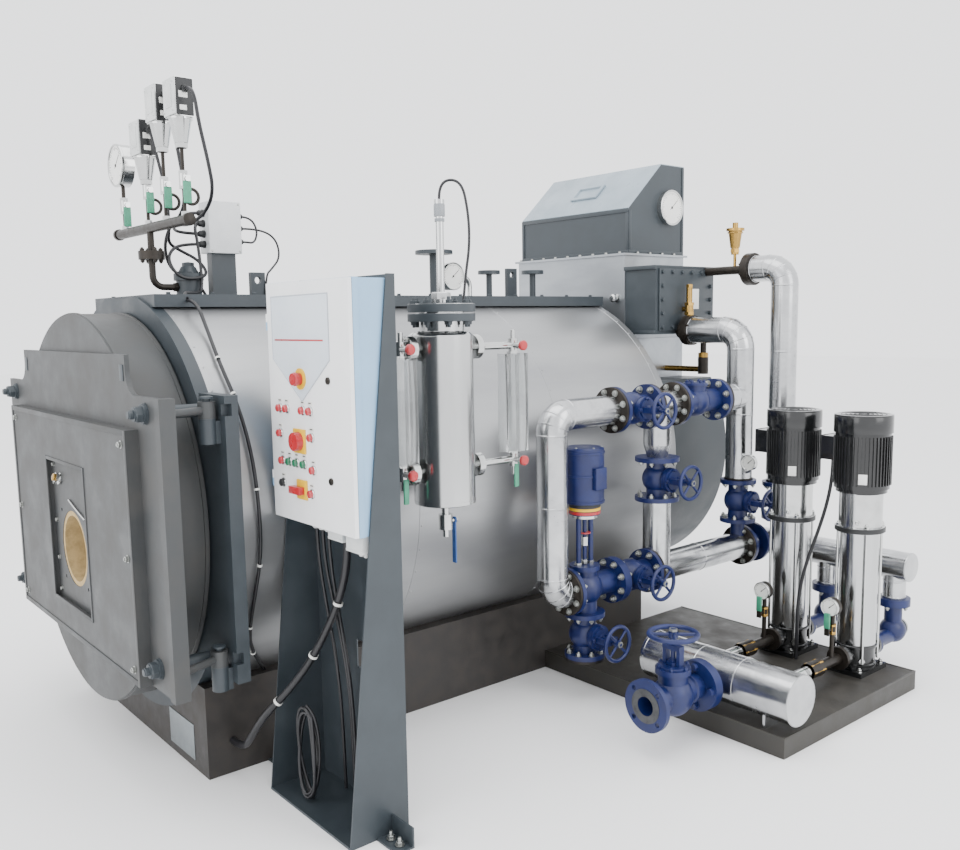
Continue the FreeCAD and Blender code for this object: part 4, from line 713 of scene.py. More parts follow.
# printed dial card under glass
dial_card = surface("printed dial card", "#f0f0ec", "#e4e4de", 2.0, (0.3, 0.42), clear=0.4)
dial_ink = surface("black dial ink", "#1c1c1c", "#2a2a2a", 2.0, (0.5, 0.6))
painted("instrument_manifold", dark_iron)
painted("pressure_switches", steel)
painted("instrument_cocks", steel)
painted("dial_gauges", steel)
painted("deck_nozzles", dark_enamel)


def dial(name, centre, along, radius):
    """Dial card, its printed marks, the needle and a turned bezel with a rolled lip."""
    axis = Vector(along).normalized()
    card = turned(
        name, [(0, 0), (radius * 0.9, 0), (radius * 0.93, 0.0006), (0, 0.0008)], centre, along, 48)
    fitted(card, dial_card)
    middle = Vector(centre) + axis * 0.0012
    upright = axis.to_track_quat("Y", "Z").to_matrix().to_4x4()
    marks = []
    for i in range(31):
        turn = Matrix.Rotation(math.radians(-135 + 9 * i), 4, axis)
        long_one = i % 5 == 0
        mark = block(
            name, (-0.0006, -0.0002, radius * (0.7 if long_one else 0.77)),
            (0.0006, 0.0002, radius * 0.84))
        mark.data.transform(Matrix.Translation(middle) @ turn @ upright)
        marks.append(mark)
    needle = block(name, (-0.0011, -0.0004, -radius * 0.18), (0.0011, 0.0004, radius * 0.66))
    needle.data.transform(
        Matrix.Translation(middle) @ Matrix.Rotation(math.radians(-48), 4, axis) @ upright)
    boss = turned(
        name, [(0, 0), (radius * 0.075, 0), (radius * 0.06, 0.002), (0, 0.0024)], middle, along, 16)
    group(name + "_marks", marks + [needle, boss], dial_ink)
    lip = turned(
        name, [(radius * 0.9, -0.001), (radius * 0.915, 0.0035), (radius * 0.97, 0.0052),
            (radius * 1.012, 0.003), (radius * 1.02, -0.004), (radius, -0.006)], centre, along, 56)
    fitted(lip, steel)


dial("pressure_dial", (-0.247, -0.9941, 2.1), to_door, 0.078)
dial("deck_dial", (0.0221, 0.4, 1.702), to_right, 0.062)
dial("hood_dial", (0.3961, 1.48, 2.036), to_right, 0.084)

pipe_y = -0.972
risers = ((-0.247, 1.952), (-0.01, 1.981), (0.155, 1.981), (0.32, 1.981))
cases, covers, labels, screws, nuts = [], [], [], [], []
for x, z in ((-0.01, 2.1), (0.155, 2.19), (0.32, 2.18)):
    cases.append(block(
        "switch_case", (x - 0.045, -1.003, z + 0.001), (x + 0.0452, -0.9405, z + 0.1219), 0.004, 3))
    cases.append(turned(
        "switch_plug", [(0, 0), (0.013, 0), (0.013, 0.012), (0.01, 0.014), (0.01, 0.022), (0, 0.022)],
        (x + 0.044, pipe_y, z + 0.085), to_right, 6))
    covers.append(block(
        "switch_cover", (x - 0.0445, -1.0085, z + 0.004), (x + 0.0445, -1.0025, z + 0.1205), 0.0025, 3))
    covers.append(block(
        "switch_window", (x - 0.026, -1.0105, z + 0.028), (x + 0.026, -1.008, z + 0.098), 0.001))
    for dx, dz in ((0.035, 0.016), (-0.035, 0.016), (0.035, 0.107), (-0.035, 0.107)):
        screws.append(turned(
            "cover_screw", [(0, 0.003), (0.0026, 0.0026), (0.0042, 0)], (x + dx, -1.0085, z + dz),
            to_door, 12))
    labels.append(block(
        "switch_label", (x + 0.045, -0.992, z + 0.058), (x + 0.046, -0.962, z + 0.078), 0.0003))
    labels.append(block(
        "switch_label", (x + 0.045, -0.99, z + 0.018), (x + 0.046, -0.966, z + 0.034), 0.0003))
    nuts.append(turned(
        "bellows_ring", [(0.036, -0.006), (0.0405, -0.006), (0.0405, 0), (0.036, 0.001)], (x, pipe_y, z),
        up, 40))
    nuts.append(disc("bellows_nut", 0.0205, 0.016, (x, pipe_y, z - 0.096), up, 6))
group("switch_cases", cases, black_mould)
group("switch_covers", covers, pale_cast)
group("switch_labels", labels, white_plate)
group("switch_fittings", screws + nuts, steel)

# grips on the cock levers, unions on the risers, and the bolts of the pipe's flange pair
grips, unions = [], []
for x, z in risers:
    grips.append(block(
        "cock_grip", (x + 0.0242, -0.9855, z - 0.0785), (x + 0.0328, -0.9585, z - 0.006), 0.0025, 3))
    for dz in (-0.03, 0.02):
        unions.append(disc("union_nut", 0.0145, 0.01, (x, pipe_y, z + dz), up, 6))
    unions.append(disc("spindle_nut", 0.009, 0.006, (x + 0.031, pipe_y, z), to_right, 6))
for x, z in risers:
    unions.append(disc("riser_boss", 0.0125, 0.014, (x, pipe_y, 1.864), up, 6))
group("cock_grips", grips, green_grip)
group("riser_unions", unions, steel)
ends = [
    turned(
        "manifold_cap", [(0, 0), (0.0215, 0), (0.0215, 0.016), (0.012, 0.02), (0, 0.02)],
        (s, pipe_y, 1.85), (a, 0, 0), 24)
    for s, a in ((-0.31, -1), (0.34, 1))]
pair = [
    bolt_ring("pair_bolt", (0, pipe_y, 1.768), up, 0.034, 4, 0.014, 0.008, straddle_4, 0.004),
    bolt_ring("pair_bolt", (0, pipe_y, 1.738), down, 0.034, 4, 0.014, 0.008, straddle_4, 0.004)]
pair.append(tube("supply_union", 0.0125, 0.018, 0.018, (0, -0.894, 1.64), to_rear, 6))
group("manifold_fittings", ends + pair, dark_iron)

# steam nozzle's hexagon crown and ring of bolts; thin covers and root welds of the stubs
stubs = [bolt_ring("nozzle_bolt", (0, -0.837, 1.69), up, 0.0465, 6, 0.01, 0.006)]
stubs.append(turned(
    "nozzle_crown", [(0, 0), (0.022, 0), (0.022, 0.014), (0, 0.018)], (0, -0.837, 1.716), up, 6))
for y, r, top in ((0.309, 0.084, 1.812), (0.631, 0.052, 1.73), (0.91, 0.054, 1.736)):
    stubs.append(turned(
        "blank_cover", [(0, 0), (r * 0.99, 0), (r * 0.99, 0.002), (r * 0.97, 0.003), (0, 0.003)],
        (0, y, top), up, 48))
    stubs.append(turned(
        "stub_weld", [(r * 0.3, 0), (r * 0.42, 0), (r * 0.3, 0.006)], (0, y, deck_z), up, 32))
group("nozzle_fittings", stubs, dark_enamel)


# ---- Junction box and its leads -------------------------------------------------------
# A sheet steel box with a screwed lid on a folded post; its leads are stiff and black,
# looped round the steam nozzle and back into the deck fittings.
painted("junction_box", dark_enamel)
box_paint = surface("light grey stoved sheet", "#d9dbdc", "#cfd1d2", 1.5, (0.32, 0.45), 0.03, patch=70.0)
shell = [
    block("box_shell", (-0.0432, -0.7662, 1.7672), (0.03, -0.6388, 1.9572), 0.003, 3),
    block("box_lid", (0.0305, -0.7672, 1.7662), (0.045, -0.6378, 1.9582), 0.003, 3)]
group("junction_box_case", shell, box_paint)
lid_screws = [
    turned("lid_screw", [(0, 0.0022), (0.0028, 0.002), (0.0042, 0)], (0.045, y, z), to_right, 12)
    for y in (-0.7582, -0.6468)
    for z in (1.775, 1.949)]
group("junction_box_screws", lid_screws, zinc)
glands = []
gland = [(0, 0), (0.014, 0), (0.014, 0.008), (0.0118, 0.009), (0.0118, 0.02), (0.008, 0.026), (0, 0.026)]
for z in (1.8, 1.838, 1.876, 1.914):
    glands.append(turned("lead_gland", gland, (0, -0.766, z), to_door, 12))
for z in (1.815, 1.865, 1.91):
    glands.append(turned("lead_gland", gland, (0, -0.639, z), to_rear, 12))
group("junction_box_glands", glands, black_mould)
leads = [
    swept(
        "box_lead", [(0, -0.788, 1.838), (0.004, -0.84, 1.838), (0.03, -0.896, 1.842),
            (0.09, -0.918, 1.858), (0.2, -0.922, 1.905), (0.232, -0.934, 1.99), (0.236, -0.955, 2.12),
            (0.23, -0.968, 2.215), (0.216, -0.972, 2.275), (0.199, -0.972, 2.275)], 0.0058),
    swept(
        "box_lead", [(0, -0.788, 1.8), (0, -0.842, 1.798), (0.03, -0.905, 1.78), (0.052, -0.935, 1.735),
            (0.06, -0.9, 1.672), (0.066, -0.83, 1.668), (0.03, -0.772, 1.69), (-0.028, -0.784, 1.745),
            (-0.03, -0.86, 1.78), (0.01, -0.912, 1.8), (0.046, -0.92, 1.84), (0.06, -0.925, 1.96),
            (0.062, -0.955, 2.09), (0.056, -0.972, 2.185), (0.036, -0.972, 2.185)], 0.0058),
    swept(
        "box_lead", [(0, -0.788, 1.914), (-0.004, -0.83, 1.914), (-0.022, -0.88, 1.88),
            (-0.05, -0.905, 1.8), (-0.075, -0.88, 1.712), (-0.06, -0.812, 1.668), (-0.036, -0.768, 1.64),
            (-0.028, -0.76, 1.607)], 0.0058),
    swept(
        "box_lead", [(0, -0.617, 1.91), (0, -0.575, 1.91), (0, -0.548, 1.86), (0.004, -0.565, 1.812),
            (0, -0.6, 1.815), (0, -0.617, 1.815)], 0.004),
    swept(
        "box_lead", [(0, -0.617, 1.865), (0, -0.54, 1.868), (0, -0.47, 1.835), (0, -0.455, 1.76),
            (0.004, -0.5, 1.712), (0.014, -0.528, 1.69), (0.016, -0.534, 1.604)], 0.004)]
leads.append(swept(
    "box_lead", [(0, -0.788, 1.876), (0.02, -0.815, 1.872), (0.04, -0.812, 1.8), (0.046, -0.806, 1.69),
        (0.062, -0.815, 1.622), (0.13, -0.87, 1.614), (0.22, -0.94, 1.613), (0.275, -0.971, 1.608),
        (0.298, -0.971, 1.59)], 0.0058))
group("box_leads", leads, black_pvc, angle=60.0)


# ---- Panel stand, cabinet and controls ------------------------------------------------
# Folded and welded steel stand; a sheet steel cabinet with its blue case and white door,
# which carries a pale front shield, lamps, two switches and two quarter-turn locks.
case_paint = surface(
    "light blue textured powder coat", "#8fb6d6", "#86abc9", 1.1, (0.38, 0.5), 0.06, patch=180.0)
front_paint = surface(
    "white textured powder coat", "#f1f2f3", "#e8eaeb", 1.1, (0.36, 0.48), 0.05, patch=180.0)
shield_paint = surface(
    "pale grey-blue printed film", "#d5dde5", "#c3cfdb", 2.0, (0.3, 0.4), 0.01, patch=260.0)
red_mould = surface(
    "red moulded plastic", "#b5262c", "#a32026", 1.2, (0.24, 0.36), 0.02, clear=0.3, patch=20.0)
yellow_plate = surface("yellow anodised plate", "#e9b91c", "#dcae1a", 1.2, (0.34, 0.46), 0.02, patch=20.0)
green_lens = surface(
    "green moulded lens", "#1f6b4a", "#1a5a3e", 1.2, (0.14, 0.24), 0.01, clear=0.6, patch=15.0)
red_lens = surface("red moulded lens", "#b8323a", "#a62a33", 1.2, (0.14, 0.24), 0.01, clear=0.6, patch=15.0)
painted("panel_stand", dark_enamel)
painted("cabinet_shell", case_paint)
painted("cabinet_door", front_paint)
painted("cabinet_controls", red_mould)
painted("cable_glands", pale_cast)
door_y = -0.914
# shield-shaped film on the door's upper half, and its red rule
bpy.ops.object.select_all(action="DESELECT")
outline = bpy.data.meshes.new("front_shield")
corners = [(0.793, 1.581), (1.125, 1.583), (1.125, 1.396), (0.962, 1.272), (0.793, 1.394)]
outline.from_pydata([(x, door_y - 0.0004, z) for x, z in corners], [], [tuple(range(5))])
shield = bpy.data.objects.new("front_shield", outline)
bpy.context.scene.collection.objects.link(shield)
alone(shield)
bpy.ops.object.modifier_add(type="SOLIDIFY")
shield.modifiers["Solidify"].thickness = 0.0016
shield.modifiers["Solidify"].offset = 0
bpy.ops.object.modifier_apply(modifier="Solidify")
bpy.ops.object.modifier_add(type="BEVEL")
shield.modifiers["Bevel"].width = 0.0005
bpy.ops.object.modifier_apply(modifier="Bevel")
fitted(shield, shield_paint, "cabinet_door_leaf")
edging = []
for (xa, za), (xb, zb) in zip(corners, corners[1:] + corners[:1]):
    edging.append(swept(
        "shield_edge", [(xa, door_y - 0.0012, za), ((xa + xb) / 2, door_y - 0.0012, (za + zb) / 2),
            (xb, door_y - 0.0012, zb)], 0.0016, sides=2))
grey_trim = surface("grey printed border", "#b4bac2", "#a9b0b8", 2.0, (0.4, 0.5))
group("shield_border", edging, grey_trim, "cabinet_door_leaf")
rule = block("shield_rule", (0.808, door_y - 0.0021, 1.449), (1.094, door_y - 0.001, 1.454), 0.0004)
fitted(rule, red_mould, "cabinet_door_leaf")
# lamps: chromed bezel, coloured dome and an engraved tag over each
spots = [
    (0.825, 1.245, red_lens), (0.867, 1.245, red_lens), (0.964, 1.245, red_lens),
    (1.007, 1.245, red_lens), (0.822, 1.168, red_lens), (1.01, 1.168, red_lens), (0.829, 1.084, red_lens),
    (0.873, 1.084, green_lens), (0.916, 1.084, green_lens), (0.962, 1.084, green_lens),
    (1.015, 1.072, red_lens), (0.829, 1.015, black_mould), (1.001, 1.000, red_lens)]
bezels, tags, lines = [], [], []
domes = {}
for x, z, lens in spots:
    bezels.append(turned(
        "lamp_bezel", [(0.0112, 0), (0.0145, 0), (0.0145, 0.0035), (0.0125, 0.005), (0.0112, 0.005)],
        (x, door_y, z), to_door, 28))
    domes.setdefault(lens.name, [lens]).append(turned(
        "lamp_dome", [(0.0116, 0), (0.0116, 0.0125), (0.0095, 0.0145), (0.005, 0.0155), (0, 0.0158)],
        (x, door_y, z), to_door, 28))
    tags.append(block(
        "lamp_tag", (x - 0.012, door_y - 0.0014, z + 0.019), (x + 0.012, door_y, z + 0.029), 0.0004))
    lines.append(block(
        "tag_line", (x - 0.009, door_y - 0.0018, z + 0.0225), (x + 0.006, door_y - 0.0012, z + 0.0255)))
for kind in domes.values():
    group("lamp_domes", kind[1:], kind[0], "cabinet_door_leaf")
group("lamp_bezels", bezels, steel, "cabinet_door_leaf")
group("lamp_tags", tags, white_plate, "cabinet_door_leaf")
group("lamp_tag_lines", lines, dial_ink, "cabinet_door_leaf")
# emergency stop, main switch and the lower handle on their yellow plates
plates = [
    turned(
        "stop_plate", [(0, 0), (0.0315, 0), (0.0315, 0.0048), (0, 0.0052)], (0.958, door_y, 1.338),
        to_door, 40),
    block("switch_plate", (0.9055, door_y - 0.0058, 1.1155), (0.9745, door_y, 1.1885), 0.0012),
    block("handle_plate", (0.9155, door_y - 0.0058, 0.9765), (0.9745, door_y, 1.0355), 0.0012)]
group("switch_plates", plates, yellow_plate, "cabinet_door_leaf")
reds = [
    turned(
        "stop_head", [(0, 0), (0.012, 0), (0.012, 0.012), (0.0195, 0.015), (0.0205, 0.023),
            (0.016, 0.0285), (0.008, 0.0305), (0, 0.0308)], (0.958, door_y, 1.338), to_door, 36),
    turned(
        "switch_knob", [(0, 0), (0.0285, 0), (0.0285, 0.01), (0.0265, 0.02), (0.027, 0.0265), (0, 0.027)],
        (0.94, door_y, 1.152), to_door, 12),
    block("knob_grip", (0.9345, door_y - 0.0275, 1.124), (0.9455, door_y - 0.01, 1.18), 0.002),
    block("handle_bar", (0.8975, door_y - 0.0245, 0.9925), (0.9625, door_y - 0.005, 1.0155), 0.004, 3)]
group("switch_handles", reds, red_mould, "cabinet_door_leaf")
locks = []
for z in (1.338, 1.05):
    locks.append(turned(
        "quarter_lock", [(0, 0), (0.0105, 0), (0.0105, 0.004), (0.0085, 0.0055), (0, 0.0055)],
        (1.113, door_y, z), to_door, 28))
    locks.append(block(
        "lock_slot", (1.106, door_y - 0.0063, z - 0.0013), (1.12, door_y - 0.005, z + 0.0013)))
group("quarter_locks", locks, dark_iron, "cabinet_door_leaf")
# rolled gutter round the case's front edge
gutter = [
    block("case_gutter", (0.7595, -0.9, 0.9015), (0.7625, -0.88, 1.6235), 0.0008),
    block("case_gutter", (1.2285, -0.9, 0.9015), (1.2315, -0.88, 1.6235), 0.0008),
    block("case_gutter", (0.7625, -0.9, 1.6215), (1.2285, -0.88, 1.6238), 0.0008)]
group("case_gutter", gutter, case_paint)
# gland nuts under the case, and the lids of its two gland boxes
under = []
for x in (0.896, 0.931, 0.966):
    under.append(turned(
        "gland_nut", [(0, 0), (0.017, 0), (0.017, 0.01), (0.0145, 0.012), (0.0145, 0.026), (0.01, 0.032),
            (0, 0.032)], (x, -0.844, 0.903), down, 12))
under.append(block("gland_lid", (1.0325, -0.8875, 0.8665), (1.1155, -0.8025, 0.8755), 0.002))
under.append(block("gland_lid", (1.1325, -0.8875, 0.8485), (1.2205, -0.8025, 0.8575), 0.002))
for x in (1.152, 1.176, 1.2):
    under.append(turned(
        "gland_nut", [(0, 0), (0.01, 0), (0.01, 0.009), (0.0085, 0.01), (0.0085, 0.02), (0, 0.024)],
        (x, -0.845, 0.849), down, 12))
group("gland_nuts", under, pale_cast)
# short tails out of the glands, down into the stand
tails = [
    swept(
        "gland_tail", [(x, -0.844, 0.874), (x + 0.001, -0.844, 0.78), (x + d, -0.836, 0.62),
            (x + d * 1.6, -0.815, 0.42), (x + d * 1.4, -0.8, 0.2), (x + d * 1.5, -0.8, 0.02)], 0.0055)
    for x, d in ((0.896, 0.03), (0.931, 0.045), (0.966, 0.03))]
group("gland_tails", tails, black_pvc, angle=60.0)
stand_bolts = []
for x in (1.268, 1.312, 0.62, 0.69):
    stand_bolts.append(hex_bolt("anchor_bolt", (x, -0.85, 0.008), up, 0.019, 0.01, stud=0.012))
group("anchor_bolts", stand_bolts, zinc)


# ---- Level column ---------------------------------------------------------------------
# A polished stainless bottle on two branch pipes, with two gauge glasses behind clear
# shields, a level probe screwed in at its top and a drain cock at its foot.
polished = surface(
    "polished stainless tube", "#c4c5c5", "#b2b3b3", 1.2, (0.14, 0.24), 0.01, metallic=1.0,
    stretch=(1.0, 1.0, 0.2), patch=140.0)
probe_cap_paint = surface("mid grey moulded cap", "#8c9094", "#7d8185", 1.2, (0.35, 0.45), 0.02, patch=30.0)
blue_sleeve = surface("blue vinyl dipped lever", "#27508f", "#1f447d", 2.0, (0.35, 0.5), 0.04, patch=20.0)
painted("level_bottle", polished)
painted("level_probe", polished)
painted("level_cocks", steel)
painted("drain_lever", blue_sleeve)
gauge_glass = bpy.data.materials.new("borosilicate gauge glass")
gauge_glass.use_nodes = True
glass_tree = gauge_glass.node_tree
glass_tree.nodes.clear()
glass_at = add(glass_tree, "ShaderNodeTexCoord")
glass_fog = add(
    glass_tree, "ShaderNodeTexNoise", values={"Scale": 60.0, "Detail": 3.0},
    links={"Vector": glass_at.outputs["Object"]})
glass_rough = add(
    glass_tree, "ShaderNodeMapRange", values={"From Min": 0.35, "From Max": 0.75, "To Min": 0.02,
        "To Max": 0.14}, links={"Value": glass_fog.outputs["Fac"]})
glass_skin = add(
    glass_tree, "ShaderNodeBsdfPrincipled", values={"Base Color": linear("#eef0f0"),
        "Transmission Weight": 0.96, "IOR": 1.47}, links={"Roughness": glass_rough.outputs["Result"]})
add(glass_tree, "ShaderNodeOutputMaterial", links={"Surface": glass_skin.outputs["BSDF"]})
painted("gauge_glasses", gauge_glass)


def on_column(z):
    """A point on the bottle's axis."""
    return (0.920, -0.360, z)


column = [
    turned(
        "bottle_flange", [(0.09, 0), (0.1125, 0), (0.1128, 0.002), (0.1128, 0.024), (0.111, 0.0265),
            (0.09, 0.0265)], on_column(z), up, 64)
    for z in (1.4998, 1.5307)]
column.append(turned(
    "bottle_cover", [(0.016, 0), (0.112, 0), (0.111, 0.0012), (0.016, 0.0012)], on_column(1.557), up, 64))
column.append(bolt_ring("cover_bolt", on_column(1.558), up, 0.094, 8, 0.019, 0.01, straddle_8, 0.01))
column.append(bolt_ring("cover_nut", on_column(1.4998), down, 0.094, 8, 0.019, 0.01, straddle_8, 0.008))
for z in (1.005, 1.412):
    column.append(bolt_ring(
        "branch_bolt", (0.796, -0.36, z), to_right, 0.04, 4, 0.013, 0.008, straddle_4, 0.005))
group("bottle_flanges", column, dark_enamel)
caps = [
    turned(
        "bottle_shoulder", [(0.074, 0.014), (0.085, 0.011), (0.096, 0.006), (0.1045, -0.004),
            (0.1045, -0.012)], on_column(1.455), up, 64),
    turned(
        "bottle_foot", [(0.026, 0.012), (0.06, 0.01), (0.09, 0.005), (0.1045, -0.004), (0.1045, -0.012)],
        on_column(0.89), down, 64),
    turned(
        "probe_nut", [(0.0135, 0), (0.033, 0), (0.033, 0.02), (0.028, 0.024), (0.0135, 0.024)],
        on_column(1.572), up, 6)]
group("bottle_ends", caps, polished)
probe_cap = [
    turned(
        "probe_cap", [(0, 0), (0.0185, 0), (0.0185, 0.036), (0.015, 0.046), (0.015, 0.054), (0, 0.055)],
        on_column(1.841), up, 32),
    tube("probe_ring", 0.0135, 0.0165, 0.01, on_column(1.824), up, 24)]
group("probe_cap", probe_cap, probe_cap_paint)
collars, reds, greens, shields = [], [], [], []
for sign, y in ((1, -0.045), (-1, -0.53)):
    for z in (1.005, 1.412):
        collars.append(bolt_ring(
            "cock_bolt", (0.92, -0.36 + sign * 0.15, z), (0, sign, 0), 0.032, 4, 0.011, 0.007,
            straddle_4))
        collars.append(disc(
            "glass_nut", 0.0215, 0.013, (0.92, y, z + (0.022 if z < 1.2 else -0.035)), up, 6))
        collars.append(turned(
            "cock_tail", [(0, 0), (0.009, 0), (0.009, 0.03), (0, 0.032)],
            (0.92, y, z + (-0.024 if z < 1.2 else 0.024)), (0, 0, -1 if z < 1.2 else 1), 16))
        reds.append(turned(
            "cock_knob", [(0, 0), (0.0135, 0), (0.0175, 0.004), (0.0175, 0.014), (0.013, 0.018),
                (0, 0.019)], (0.966, y, z), to_right, 20))
    greens.append(block("glass_lever", (0.93, y - 0.01, 0.905), (0.9375, y + 0.01, 0.99), 0.003, 3))
    for x0, x1, y0, y1 in (
            (0.944, 0.9475, -0.048, 0.048), (0.8925, 0.944, -0.048, -0.045),
            (0.8925, 0.944, 0.045, 0.048)):
        shields.append(block("glass_shield", (x0, y + y0, 1.034), (x1, y + y1, 1.383), 0.001))
group("cock_fittings", collars, steel)
group("cock_knobs", reds, red_mould)
group("glass_levers", greens, green_grip)
group("glass_shields", shields, gauge_glass)
lever_nut = disc("lever_nut", 0.01, 0.007, (0.92, -0.3195, 0.822), to_rear, 6)
fitted(lever_nut, zinc, "drain_lever_body")


# ---- Pump skid ------------------------------------------------------------------------
# Two upright multistage pumps on a folded steel skid: cast feet, stainless sleeves held
# by four tie rods, and finned cast aluminium motors sprayed gloss black.
gloss_black = surface(
    "gloss black sprayed casting", "#101112", "#1b1c1d", 2.2, (0.12, 0.26), 0.05, clear=0.35, patch=60.0)
skid_paint = surface(
    "brushed brown-black enamel on folded plate", "#2c2a26", "#3a3732", 2.6, (0.4, 0.66), 0.12,
    patch=90.0)
clad_sheet = surface(
    "bright rolled aluminium cladding", "#c2c3c4", "#a9aaad", 1.6, (0.15, 0.3), 0.02, metallic=1.0,
    patch=85.0)
painted("skid_frame", skid_paint)
painted("pump_casings", gloss_black)
painted("pump_sleeves", polished)
painted("pump_motors", gloss_black)
painted("suction_header", clad_sheet)
painted("suction_branches", dark_iron)
edges = [
    block("skid_lip", (0.562, 0.4435, 0.07), (1.7365, 0.45, 0.0768), 0.0012),
    block("skid_lip", (1.73, 0.45, 0.07), (1.7365, 1.38, 0.0768), 0.0012),
    block("skid_lip", (0.562, 1.3735, 0.07), (1.73, 1.38, 0.0768), 0.0012)]
group("skid_lips", edges, skid_paint)
pumps = (1.25, 1.555)
py = 1.236
for px in pumps:
    fins = []
    fin = block("motor_fin", (0.103, -0.0017, 0.838), (0.1098, 0.0017, 1.03), 0.0006)
    fins += copied(
        fin, [Matrix.Translation((px, py, 0)) @ Matrix.Rotation(math.radians(8 * i), 4, "Z")
            for i in range(45) if abs(8 * i - 180) > 33])
    fins.append(turned(
        "motor_cowl", [(0.1102, 0), (0.1108, 0.002), (0.1108, 0.064), (0.108, 0.0705), (0.098, 0.0722),
            (0.092, 0.07), (0, 0.07)], (px, py, 1.0422), up, 64))
    fins.append(bolt_ring("motor_bolt", (px, py, 0.822), up, 0.0895, 8, 0.011, 0.007))
    fins.append(block(
        "terminal_lid", (px - 0.1505, py - 0.057, 0.924), (px - 0.1465, py + 0.057, 1.023), 0.0015))
    fins += [
        turned(
            "casing_rib", [(0.0735, 0), (0.08, 0.003), (0.08, 0.011), (0.0735, 0.014)], (px, py, z), up,
            48)
        for z in (0.1, 0.174)]
    for s in (-1, 1):
        fins.append(bolt_ring(
            "port_bolt", (px, py + s * 0.109, 0.148), (0, -s, 0), 0.036, 4, 0.014, 0.008, straddle_4))
    group("motor_fins", fins, gloss_black)
    grille = []
    for r in (0.02, 0.036, 0.052, 0.068, 0.084):
        grille.append(turned(
            "fan_ring", [(r - 0.0016, 0), (r, 0.0022), (r + 0.0016, 0)], (px, py, 1.1115), up, 48))
    ring_clamp = turned(
        "ring_clamp", [(0.0925, 0), (0.0955, 0.002), (0.0955, 0.018), (0.0925, 0.02)], (px, py, 0.647),
        up, 56)
    group("motor_grille", grille + [ring_clamp], black_mould)
    rods, heads = [], []
    for i in range(4):
        a = math.radians(45 + 90 * i)
        x, y = px + 0.0845 * math.cos(a), py + 0.0845 * math.sin(a)
        rods.append(swept("tie_rod", [(x, y, 0.12), (x, y, 0.4), (x, y, 0.676)], 0.0052))
        rods.append(hex_bolt("tie_nut", (x, y, 0.668), up, 0.017, 0.01, stud=0.006))
        heads.append(hex_bolt(
            "foot_bolt", (px + (0.062 if i % 3 == 0 else -0.062), py + (0.082 if i < 2 else -0.082),
                0.095), up, 0.016, 0.009, stud=0.006))
    for s in (-1, 1):
        guard = turned(
            "coupling_guard", [(0.0812, 0), (0.0824, 0.001), (0.0824, 0.131), (0.0812, 0.132)],
            (px, py, 0.671), up, 56)
        rods.append(trimmed(guard, (px + s * 0.022, py, 0.7), (-s, 0, 0)))
    vent = turned(
        "vent_plug", [(0, 0), (0.01, 0), (0.01, 0.008), (0.006, 0.009), (0.006, 0.02), (0, 0.021)],
        (px + 0.03, py - 0.0735, 0.69), (0.3, -1, 0), 6)
    drain = disc("drain_plug", 0.012, 0.012, (px + 0.052, py - 0.052, 0.13), (1, -1, 0), 6)
    group("pump_tie_rods", rods + heads + [vent, drain], steel)
    tag = block("motor_plate", (-0.016, -0.001, -0.02), (0.016, 0.001, 0.02), 0.0004)
    tag.data.transform(Matrix.Translation((px + 0.056, py - 0.0975, 0.868)) @ Matrix.Rotation(0.52, 4, "Z"))
    fitted(tag, white_plate)

# suction header: end caps, seam straps with their locks, and the two pumps' branches
bands = [
    turned(
        "header_band", [(0.09, 0), (0.0915, 0.001), (0.0915, 0.013), (0.09, 0.014)], (x, 0.525, 0.19),
        to_right, 64)
    for x in (1.104, 1.33, 1.51, 1.7295)]
for x, a in ((1.7426, 1), (1.1054, -1)):
    bands.append(turned(
        "header_end", [(0, 0), (0.0895, 0), (0.0908, 0.0005), (0.0908, 0.0014), (0.089, 0.0014),
            (0, 0.0012)], (x, 0.525, 0.19), (a, 0, 0), 64))
group("header_bands", bands, clad_sheet)
brasses, trims, grips = [], [], []
for x in pumps:
    brasses.append(turned(
        "branch_valve", [(0, 0), (0.033, 0), (0.033, 0.018), (0.0315, 0.02), (0.0315, 0.058),
            (0.033, 0.06), (0.033, 0.08), (0, 0.08)], (x, 0.881, 0.148), to_rear, 6))
    brasses.append(turned(
        "gauge_cock", [(0, 0), (0.0175, 0), (0.0175, 0.01), (0.0155, 0.012), (0.0155, 0.03),
            (0.0175, 0.032), (0.0175, 0.04), (0, 0.04)], (x, 1.049, 0.261), up, 6))
    trims.append(tube("branch_sleeve", 0.0212, 0.0245, 0.03, (x, 0.84, 0.148), to_rear, 32))
    trims.append(tube("branch_sleeve", 0.0212, 0.0245, 0.25, (x, 0.611, 0.148), to_rear, 32))
    grips.append(block("branch_grip", (x - 0.012, 1.0048, 0.29), (x + 0.012, 1.0145, 0.352), 0.003, 3))
    dial("branch_dial", (x, 1.0268, 0.372), to_door, 0.036)
group("branch_valves", brasses, brass)
group("branch_sleeves", trims, steel)
group("branch_grips", grips, green_grip)


